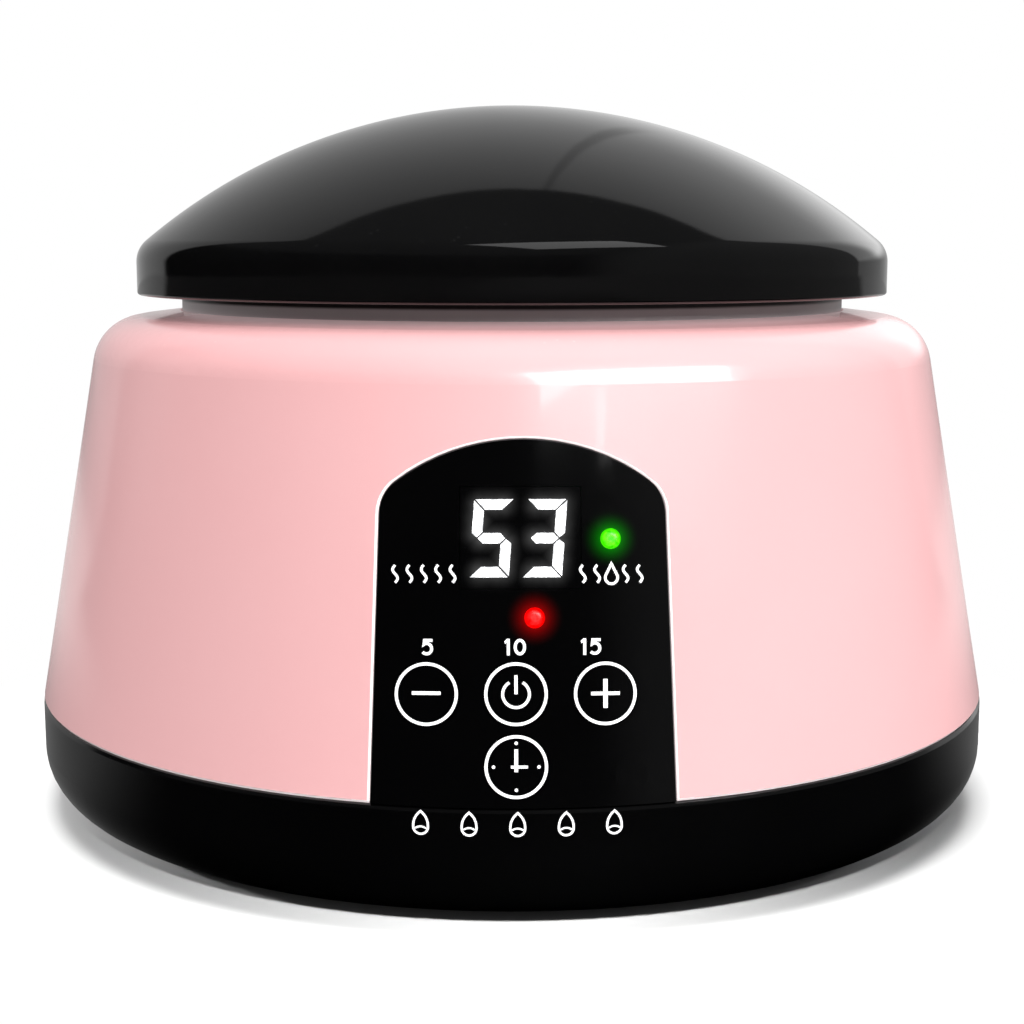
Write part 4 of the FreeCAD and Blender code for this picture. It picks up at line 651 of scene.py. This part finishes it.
filmSpec = {"lift": 0.03, "sink": 0.05}
keySpec = {"row": 18.4, "timerUp": 6.9, "shift": -1.2, "pitch": 14.25, "ringRadius": 5.04, "ringWidth": 0.5,
           "minusBar": 0.56, "minusUp": 0.15, "barReach": 2.3, "level": 0.55, "upright": 0.7,
           "powerRadius": 2.12, "powerTurn": (120, 420), "powerLine": 0.47, "powerBar": 0.5,
           "powerReach": 3.0, "dot": 0.28, "dots": ((0, 3.75), (3.6, 0), (0, -3.65), (-3.6, 0)),
           "hands": (0.85, 1.85, 2.8, 0.8), "handLines": (0.45, 0.58)}


def cross(arms, level, upright):
    left, right, up, down = arms
    a, b = upright / 2, level / 2
    return [(-left, b), (-a, b), (-a, up), (a, up), (a, b), (right, b), (right, -b), (a, -b), (a, -down),
            (-a, -down), (-a, -b), (-left, -b)]


def keyPrint(name, body, centre, bands=(), shapes=()):
    flat = bmesh.new()
    loop = ring((0, 0), keySpec["ringRadius"] - keySpec["ringWidth"] / 2, 72)
    addBand(flat, moved(loop, centre), keySpec["ringWidth"], True)
    for points, width in bands:
        addBand(flat, moved(points, centre), width)
    for corners in shapes:
        addPolygon(flat, moved(corners, centre))
    pressOn(name, flat, onPanel, filmSpec, finishes["print"], body)


def buildKeyPrints(spec):
    left, right = spec["shift"] - spec["pitch"], spec["shift"] + spec["pitch"]
    reach, up = spec["barReach"], spec["minusUp"]
    keyPrint("minusKeyPrint", "minus_key", (left, spec["row"]),
             [(line((-reach, up), (reach, up)), spec["minusBar"])])
    keyPrint("plusKeyPrint", "plus_key", (right, spec["row"]), [],
             [cross((reach, reach, reach, reach), spec["level"], spec["upright"])])
    keyPrint("powerKeyPrint", "power_key", (spec["shift"], spec["row"]),
             [(arc((0, 0), spec["powerRadius"], *spec["powerTurn"]), spec["powerLine"]),
              (line((0, 0), (0, spec["powerReach"])), spec["powerBar"])])
    dots = [ring(spot, spec["dot"], 12) for spot in spec["dots"]]
    keyPrint("timerKeyPrint", "timer_key", (spec["shift"], spec["timerUp"]), [],
             dots + [cross(spec["hands"], *spec["handLines"])])


buildKeyPrints(keySpec)


# minute numbers over the keys

numberSpec = {"height": 2.62, "line": 0.47, "up": 25.85, "gap": 0.62,
              "places": {"5": -15.25, "10": -1.3, "15": 10.75}, "widths": {"0": 1.95, "1": 0.85, "5": 1.75},
              "flag": {"tip": 0.4, "root": 0.55, "heel": 0.8, "inset": 0.1},
              "five": {"bowl": 0.63, "across": 0.42, "turn": (118, -138), "capRight": 0.05, "capLeft": 0.42,
                       "neck": 0.3, "neckDrop": 0.1}}


def drawNumber(flat, sign, left, middle):
    width, half, thick = numberSpec["widths"][sign], numberSpec["height"] / 2, numberSpec["line"]
    if sign == "0":
        loop = ring((0, 0), half - thick / 2, 30, (width - thick) / (2 * half - thick))
        addBand(flat, moved(loop, (left + width / 2, middle)), thick, True)
    elif sign == "1":
        flag, inner = numberSpec["flag"], width - thick
        stem = [(0, half - flag["tip"]), (inner, half), (width, half), (width, -half), (inner, -half),
                (inner, half - flag["root"]), (flag["inset"], half - flag["heel"])]
        addPolygon(flat, moved(stem, (left, middle)))
    else:
        five, radius, top = numberSpec["five"], half * numberSpec["five"]["bowl"], half - thick / 2
        bowl = arc((width * five["across"], radius - top), radius, *five["turn"], 22)
        cap = [(width - five["capRight"], top), (five["capLeft"], top)]
        neck = [(five["neck"], bowl[0][1] - five["neckDrop"])]
        addBand(flat, moved(cap + neck + bowl[1:], (left, middle)), thick)


def buildNumbers(spec):
    flat = bmesh.new()
    for text, centre in spec["places"].items():
        whole = sum(spec["widths"][sign] for sign in text) + spec["gap"] * (len(text) - 1)
        left = centre - whole / 2
        for sign in text:
            drawNumber(flat, sign, left, spec["up"])
            left += spec["widths"][sign] + spec["gap"]
    pressOn("minuteNumbers", flat, onPanel, filmSpec, finishes["print"], "housing")


buildNumbers(numberSpec)


# pictograms: heat and steam beside the digits, a row of nails on the base

markSpec = {"heat": (-15.8, 37.5), "steam": (14.1, 37.4), "height": 2.8, "line": 0.42, "pitch": 2.3,
            "sway": 0.4, "dropRadius": 1.0, "dropHeight": 3.2, "nailUp": 19.9, "nailShift": -1.0,
            "nailPitch": 7.7, "nailWidth": 2.35, "nailHeight": 3.5, "nailLine": 0.36, "moonDrop": 0.62,
            "moonRadius": 0.6, "moonTurn": (52, 128), "moonLine": 0.8}


def wave(centre, height, sway, steps=20):
    low = centre[1] - height / 2
    return [(centre[0] + sway * math.sin(2 * math.pi * i / steps), low + height * i / steps)
            for i in range(steps + 1)]


def droplet(radius, height):
    lean = math.degrees(math.asin(radius / (height - radius)))
    low = (0, radius - height / 2)
    bowl = arc(low, radius, 180 - lean, 360 + lean, 26)
    tip = (0, height / 2)
    return bowl + line(bowl[-1], tip, 4)[1:] + line(tip, bowl[0], 4)[1:-1]


def almond(width, height, rootShare=0.8, point=0.65):
    half = width / 2
    low = half * rootShare - height / 2
    root = arc((0, low), half, 180, 360, 16)
    rise = height / 2 - low
    side = [(half * (1 - t * t * (1 - point + point * t)), low + rise * t)
            for t in (0.15, 0.3, 0.45, 0.6, 0.72, 0.82, 0.9, 0.96)]
    return root + side + [(0, height / 2)] + [(-x, y) for x, y in reversed(side)]


def buildMarks(spec):
    flat = bmesh.new()
    for centre, steps in ((spec["heat"], (-2, -1, 0, 1, 2)), (spec["steam"], (-2, -1, 1, 2))):
        for step in steps:
            spot = (centre[0] + step * spec["pitch"], centre[1])
            addBand(flat, wave(spot, spec["height"], spec["sway"]), spec["line"])
    addBand(flat, moved(droplet(spec["dropRadius"], spec["dropHeight"]), spec["steam"]), spec["line"], True)
    pressOn("panelPictograms", flat, onPanel, filmSpec, finishes["print"], "housing")
    flat = bmesh.new()
    for step in (-2, -1, 0, 1, 2):
        centre = (step * spec["nailPitch"] + spec["nailShift"], spec["nailUp"])
        addBand(flat, moved(almond(spec["nailWidth"], spec["nailHeight"]), centre), spec["nailLine"], True)
        low = -spec["nailHeight"] * spec["moonDrop"]
        moon = arc((0, low), spec["nailWidth"] * spec["moonRadius"], *spec["moonTurn"], 8)
        addBand(flat, moved(moon, centre), spec["nailLine"] * spec["moonLine"])
    pressOn("nailRow", flat, onBase, filmSpec, finishes["print"], "housing")


buildMarks(markSpec)
print("prints built")


# lit digits in the smoked window's face

def segmentShapes(spec):
    w, h, t, e = spec["width"], spec["height"], spec["stroke"], spec["gap"]
    mid, half = h / 2, t / 2
    return {
        "a": [(e, h), (w - e, h), (w - t - e, h - t), (t + e, h - t)],
        "d": [(t + e, t), (w - t - e, t), (w - e, 0), (e, 0)],
        "g": [(half + e, mid), (t + e, mid + half), (w - t - e, mid + half), (w - half - e, mid),
              (w - t - e, mid - half), (t + e, mid - half)],
        "f": [(0, h - e), (t, h - t - e), (t, mid + half + e), (half, mid + e), (0, mid + half)],
        "b": [(w, h - e), (w, mid + half), (w - half, mid + e), (w - t, mid + half + e), (w - t, h - t - e)],
        "c": [(w, e), (w - t, t + e), (w - t, mid - half - e), (w - half, mid - e), (w, mid - half)],
    }


def buildDigits(spec):
    lean = math.tan(math.radians(spec["lean"]))
    shapes = segmentShapes(spec)
    flat = bmesh.new()
    for left, shown in zip(spec["places"], spec["shown"]):
        for key in shown:
            addPolygon(flat, [(left + x + y * lean, spec["low"] + y) for x, y in shapes[key]])
    pressOn("litSegments", flat, onPanel, spec, finishes["digits"], "housing")


finishes["digits"] = glowing("litDigit", digitSpec)
buildDigits(digitSpec)
print("digits built")


# the lid's dome as one finely turned skin over the plain solid

lidSpec = {"rimHeight": 8.8, "wall": 2.2, "shoulder": 5.5, "lowerRound": 0.6, "turns": 180,
           "domeSteps": 44, "shoulderSteps": 18, "roundSteps": 7, "innerSteps": 20, "sharp": 35,
           "bossCount": 4, "bossCircle": 52.0, "bossRadius": 3.6, "bossLow": 105.7, "holeRadius": 1.3,
           "holeDepth": 9.4, "bossTurns": 32}


def turned(mesh, profile, turns, centre=(0.0, 0.0)):
    rings = []
    for radius, height in profile:
        count = turns if radius > 1e-6 else 1
        rings.append([mesh.verts.new((centre[0] + radius * math.cos(2 * math.pi * i / turns),
                                      centre[1] + radius * math.sin(2 * math.pi * i / turns), height))
                      for i in range(count)])
    for near, far in zip(rings, rings[1:] + rings[:1]):
        if len(near) == 1 and len(far) == 1:
            continue
        for i in range(turns):
            corners = []
            for circle, step in ((near, i), (near, i + 1), (far, i + 1), (far, i)):
                vert = circle[step % len(circle)]
                if vert not in corners:
                    corners.append(vert)
            mesh.faces.new(corners)


def swept(centre, radius, start, end, steps):
    return [(centre[0] + radius * math.cos(start + (end - start) * i / steps),
             centre[1] + radius * math.sin(start + (end - start) * i / steps)) for i in range(steps + 1)]


def buildLidDome(spec):
    low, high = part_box("lid_shell")
    rim, bottom, top = high[0], low[2], high[2]
    rise = top - bottom - spec["rimHeight"] * mm
    domeRadius = (rim * rim + rise * rise) / (2 * rise)
    middle = (0.0, top - domeRadius)
    wall, shoulder, edgeRound = inMetres((spec["wall"], spec["shoulder"], spec["lowerRound"]))
    turnHeight = middle[1] + math.sqrt((domeRadius - shoulder) ** 2 - (rim - shoulder) ** 2)
    meet = math.atan2(turnHeight - middle[1], rim - shoulder)
    innerRadius, innerRim = domeRadius - wall, rim - wall
    innerMeet = math.acos(innerRim / innerRadius)
    profile = swept(middle, domeRadius, math.pi / 2, meet, spec["domeSteps"])
    profile += swept((rim - shoulder, turnHeight), shoulder, meet, 0.0, spec["shoulderSteps"])[1:]
    profile += swept((rim - edgeRound, bottom + edgeRound), edgeRound, 0.0, -math.pi / 2, spec["roundSteps"])
    profile += [(innerRim, bottom)]
    profile += swept(middle, innerRadius, innerMeet, math.pi / 2, spec["innerSteps"])
    profile[0], profile[-1] = (0.0, profile[0][1]), (0.0, profile[-1][1])
    mesh = bmesh.new()
    turned(mesh, profile, spec["turns"])
    lowEnd, deep = inMetres((spec["bossLow"], spec["bossLow"] + spec["holeDepth"]))
    circle, outer, hole = inMetres((spec["bossCircle"], spec["bossRadius"], spec["holeRadius"]))
    tip = middle[1] + math.sqrt(innerRadius ** 2 - (circle + outer) ** 2) + wall / 4  # ends inside the wall
    boss = [(0.0, deep), (hole, deep), (hole, lowEnd), (outer, lowEnd), (outer, tip), (0.0, tip)]
    for i in range(spec["bossCount"]):
        angle = 2 * math.pi * (i + 0.5) / spec["bossCount"]
        turned(mesh, boss, spec["bossTurns"], (circle * math.cos(angle), circle * math.sin(angle)))
    dome = finishPiece(mesh, "lidDome", finishes["lid_shell"], "lid")
    dome.data.shade_smooth()
    dome.data.set_sharp_from_angle(angle=math.radians(spec["sharp"]))
    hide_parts("lid_shell")


buildLidDome(lidSpec)
print("lid turned")


# floor and light

floorSpec = {"size": 3.0, "colour": (0.49, 0.49, 0.49, 1), "shade": (0.51, 0.51, 0.51, 1),
             "bounce": (0.2, 0.2, 0.2, 1), "cloudScale": 9.0, "whiteFrom": (0.108, 0.15),
             "near": (0.0, 0.0, 0.0, 1), "side": (0.2, 0.2, 0.2, 1), "sideFrom": (-0.07, 0.0), "skew": -0.1,
             "far": (0.72, 0.70, 0.69, 1), "farFrom": (0.03, 0.24), "openLeft": (-1.6, -1.3),
             "openRight": (1.3, 1.6), "openMiddle": (0.3, 0.6), "farther": (0.33, 0.33, 0.33, 1),
             "fartherFrom": (0.45, 0.95), "front": (0.03, 0.10), "frontFrom": (-1.2, -0.5),
             "leanFrom": (-0.6, 0.3)}


def buildFloor(spec):
    mesh = bmesh.new()
    bmesh.ops.create_grid(mesh, x_segments=8, y_segments=8, size=spec["size"])
    data = bpy.data.meshes.new("paleFloor")
    mesh.to_mesh(data)
    mesh.free()
    floor = bpy.data.objects.new("paleFloor", data)
    scene.collection.objects.link(floor)
    material = bpy.data.materials.new("paleFloor")
    material.use_nodes = True
    tree = material.node_tree
    tree.nodes.clear()
    place = addNode(tree, "TexCoord").outputs["Object"]
    cloud = addNode(tree, "TexNoise", {"Vector": place, "Scale": spec["cloudScale"]}).outputs["Fac"]
    seen = mixed(tree, cloud, spec["colour"], spec["shade"])
    path = addNode(tree, "LightPath").outputs
    matt = addNode(tree, "BsdfDiffuse", {"Color": mixed(tree, path["Is Camera Ray"], spec["bounce"], seen)})
    # seen directly, the sweep turns plain white away from the contact shadow
    away = addNode(tree, "VectorMath", {0: place}, operation="LENGTH").outputs["Value"]
    clean = addNode(tree, "Emission", {"Color": (1, 1, 1, 1)})
    whiter = times(tree, rising(tree, away, spec["whiteFrom"]), path["Is Camera Ray"])
    sweep = addNode(tree, "MixShader", {0: whiter, 1: matt.outputs[0], 2: clean.outputs[0]})
    # mirrored in the gloss, it has a tone of its own beside, beyond and in front of the machine
    apart = addNode(tree, "SeparateXYZ", {0: place}).outputs
    slanted = maths(tree, "ADD", apart["Y"], times(tree, apart["X"], spec["skew"]))
    beside = mixed(tree, rising(tree, slanted, spec["sideFrom"]), spec["near"], spec["side"])
    across = maths(tree, "DIVIDE", apart["X"], maths(tree, "MAXIMUM", apart["Y"], sliver))
    inside = times(tree, rising(tree, across, spec["openLeft"]), falling(tree, across, spec["openRight"]))
    close = falling(tree, maths(tree, "ABSOLUTE", apart["X"]), spec["openMiddle"])
    beyond = times(tree, rising(tree, apart["Y"], spec["farFrom"]), maths(tree, "MAXIMUM", inside, close))
    ahead = falling(tree, apart["Y"], spec["frontFrom"])
    leaning = ramped(tree, apart["X"], *spec["front"], *spec["leanFrom"], True)
    aside = mixed(tree, ahead, mixed(tree, close, leaning, beside), leaning)
    farAway = rising(tree, apart["Y"], spec["fartherFrom"])
    mirrored = mixed(tree, beyond, aside, mixed(tree, farAway, spec["far"], spec["farther"]))
    dim = addNode(tree, "Emission", {"Color": mirrored})
    blend = addNode(tree, "MixShader", {0: path["Is Glossy Ray"], 1: sweep.outputs[0], 2: dim.outputs[0]})
    addNode(tree, "OutputMaterial", {"Surface": blend.outputs[0]})
    data.materials.append(material)


lightSpec = {
    "fill": 0.35, "backdrop": 1.0, "aim": (0.0, 0.0, 0.06), "coneSoft": 0.05,
    "window": {"top": (1.98, 2.08), "left": (-1.45, -1.25), "right": (1.45, 1.6), "horizon": (-0.14, -0.06),
               "dim": 0.36, "middle": 0.58, "bright": 0.85, "low": 0.28, "leftFrom": (-0.6, 0.0),
               "rightFrom": (0.0, 0.6), "climb": (0.02, 0.18), "peak": 1.5, "settle": (0.3, 0.75),
               "narrow": (0.52, 0.7), "near": 1.15, "high": 0.68, "heightFrom": (0.2, 1.98),
               "glow": 0.12, "glowFrom": (0.25, 0.6), "ceiling": 0.05, "ceilingFrom": (0.5, 0.7)},
    "bar": {"across": 0.178, "width": (0.008, 0.024), "from": (0.35, 0.6), "depth": 0.3},
    "lamps": {
        "overhead": {"place": (0.0, -0.12, 1.3), "size": (0.9, 0.9), "power": 8.5, "skips": ("paleFloor",)},
        "frontTop": {"place": (-0.05, -1.0, 1.0), "size": (1.0, 1.0), "power": 5.9, "skips": ("paleFloor",)},
        "backFill": {"place": (0.2, 1.3, 0.9), "size": (1.0, 0.8), "power": 22.0, "skips": ("paleFloor",)},
        "leftFill": {"place": (-1.15, 0.45, 0.35), "size": (0.6, 0.6), "power": 8.5,
                     "skips": ("lidDome", "paleFloor")},
        "rightFill": {"place": (1.2, 0.5, 0.35), "size": (0.6, 0.6), "power": 4.0,
                      "skips": ("lidDome", "paleFloor")},
        "floorKey": {"place": (0.0, -0.2, 1.3), "size": (0.75, 0.6), "power": 40.0,
                     "lights": ("paleFloor",)},
        "frontPool": {"place": (0.0, -0.88, 0.62), "aim": (0.0, -0.088, 0.0), "cone": 7.0, "power": 200.0,
                      "lights": ("paleFloor",)},
        "leftPool": {"place": (-0.95, -0.2, 0.45), "aim": (-0.105, -0.015, 0.0), "cone": 8.0, "power": 78.0,
                     "lights": ("paleFloor",)},
        "rightPool": {"place": (0.95, -0.2, 0.45), "aim": (0.115, -0.01, 0.0), "cone": 7.0, "power": 36.0,
                      "lights": ("paleFloor",)},
        "rightKey": {"place": (0.48, -0.80, 0.57), "size": (0.98, 0.46), "power": 12.5, "mirrored": True,
                     "skips": ("lidDome", "paleFloor", "finger_tray", "finger_mat")},
        "lidStrip": {"place": (0.22, -0.28, 1.2), "size": (0.66, 0.5), "power": 1.6, "mirrored": True,
                     "lights": ("lidDome",)},
        "lowPatch": {"place": (0.39, -1.03, 0.338), "size": (0.05, 0.045), "power": 0.03, "mirrored": True,
                     "skips": ("lidDome", "paleFloor")},
    }}


def buildWorld(spec):
    world = bpy.data.worlds.new("softStudio")
    world.use_nodes = True
    scene.world = world
    tree = world.node_tree
    tree.nodes.clear()
    window, bar = spec["window"], spec["bar"]
    apart = addNode(tree, "SeparateXYZ", {0: addNode(tree, "TexCoord").outputs["Generated"]}).outputs
    depth = maths(tree, "MAXIMUM", apart["Y"], sliver)
    across = maths(tree, "DIVIDE", apart["X"], depth)
    rise = maths(tree, "DIVIDE", apart["Z"], depth)
    # the window's outline, behind the machine
    inside = falling(tree, rise, window["top"])
    for edge in (rising(tree, across, window["left"]), falling(tree, across, window["right"]),
                 maths(tree, "GREATER_THAN", apart["Y"], 0.0), rising(tree, apart["Z"], window["horizon"])):
        inside = times(tree, inside, edge)
    # its tone rises to the right, and falls again far up and far out
    leftSide = ramped(tree, apart["X"], window["dim"], window["middle"], *window["leftFrom"])
    lift = ramped(tree, rise, window["peak"] - window["middle"], window["bright"] - window["middle"],
                  *window["settle"], True)
    lift = times(tree, lift, falling(tree, apart["X"], window["narrow"]))
    climb = rising(tree, rise, window["climb"])
    gain = addNode(tree, "Mix", {0: climb, 2: window["low"] - window["middle"], 3: lift}).outputs[0]
    rightSide = times(tree, gain, ramped(tree, apart["X"], 0.0, 1.0, *window["rightFrom"]))
    tone = times(tree, maths(tree, "ADD", leftSide, rightSide),
                 ramped(tree, rise, window["near"], window["high"], *window["heightFrom"]))
    # a thin upright bar divides it
    aside = maths(tree, "ABSOLUTE", maths(tree, "SUBTRACT", across, bar["across"]))
    shaded = times(tree, ramped(tree, aside, bar["depth"], 0.0, *bar["width"], True),
                   rising(tree, rise, bar["from"]))
    tone = times(tree, tone, maths(tree, "SUBTRACT", 1.0, shaded))
    glow = ramped(tree, apart["X"], 0.0, window["glow"], *window["glowFrom"], True)
    roof = ramped(tree, apart["Z"], 0.0, window["ceiling"], *window["ceilingFrom"], True)
    mirrored = maths(tree, "MAXIMUM", times(tree, inside, tone), maths(tree, "MAXIMUM", glow, roof))
    path = addNode(tree, "LightPath").outputs
    level = addNode(tree, "Mix", {0: path["Is Glossy Ray"], 2: spec["fill"], 3: mirrored}).outputs[0]
    level = addNode(tree, "Mix", {0: path["Is Camera Ray"], 2: level, 3: spec["backdrop"]}).outputs[0]
    shade = addNode(tree, "Background", {"Color": (1, 1, 1, 1), "Strength": level})
    addNode(tree, "OutputWorld", {"Surface": shade.outputs[0]})


def buildLamps(light, things):
    for name, spec in light["lamps"].items():
        if "cone" in spec:
            lamp = bpy.data.lights.new(name, "SPOT")
            lamp.spot_size = math.radians(spec["cone"])
            lamp.spot_blend = 1.0
            lamp.shadow_soft_size = light["coneSoft"]
        else:
            lamp = bpy.data.lights.new(name, "AREA")
            lamp.shape = "RECTANGLE"
            lamp.size, lamp.size_y = spec["size"]
        lamp.energy = spec["power"]
        holder = bpy.data.objects.new(name, lamp)
        holder.location = spec["place"]
        aim = Vector(spec.get("aim", light["aim"])) - holder.location
        holder.rotation_euler = aim.to_track_quat("-Z", "Y").to_euler()
        holder.visible_glossy = spec.get("mirrored", False)
        scene.collection.objects.link(holder)
        lit = bpy.data.collections.new(name + "Lit")
        for thing in things:
            if thing.name in spec.get("lights", (thing.name,)) and thing.name not in spec.get("skips", ()):
                lit.objects.link(thing)
        holder.light_linking.receiver_collection = lit


buildFloor(floorSpec)
buildWorld(lightSpec)
buildLamps(lightSpec, [thing for thing in scene.objects if thing.type == "MESH"])
print("stage lit")
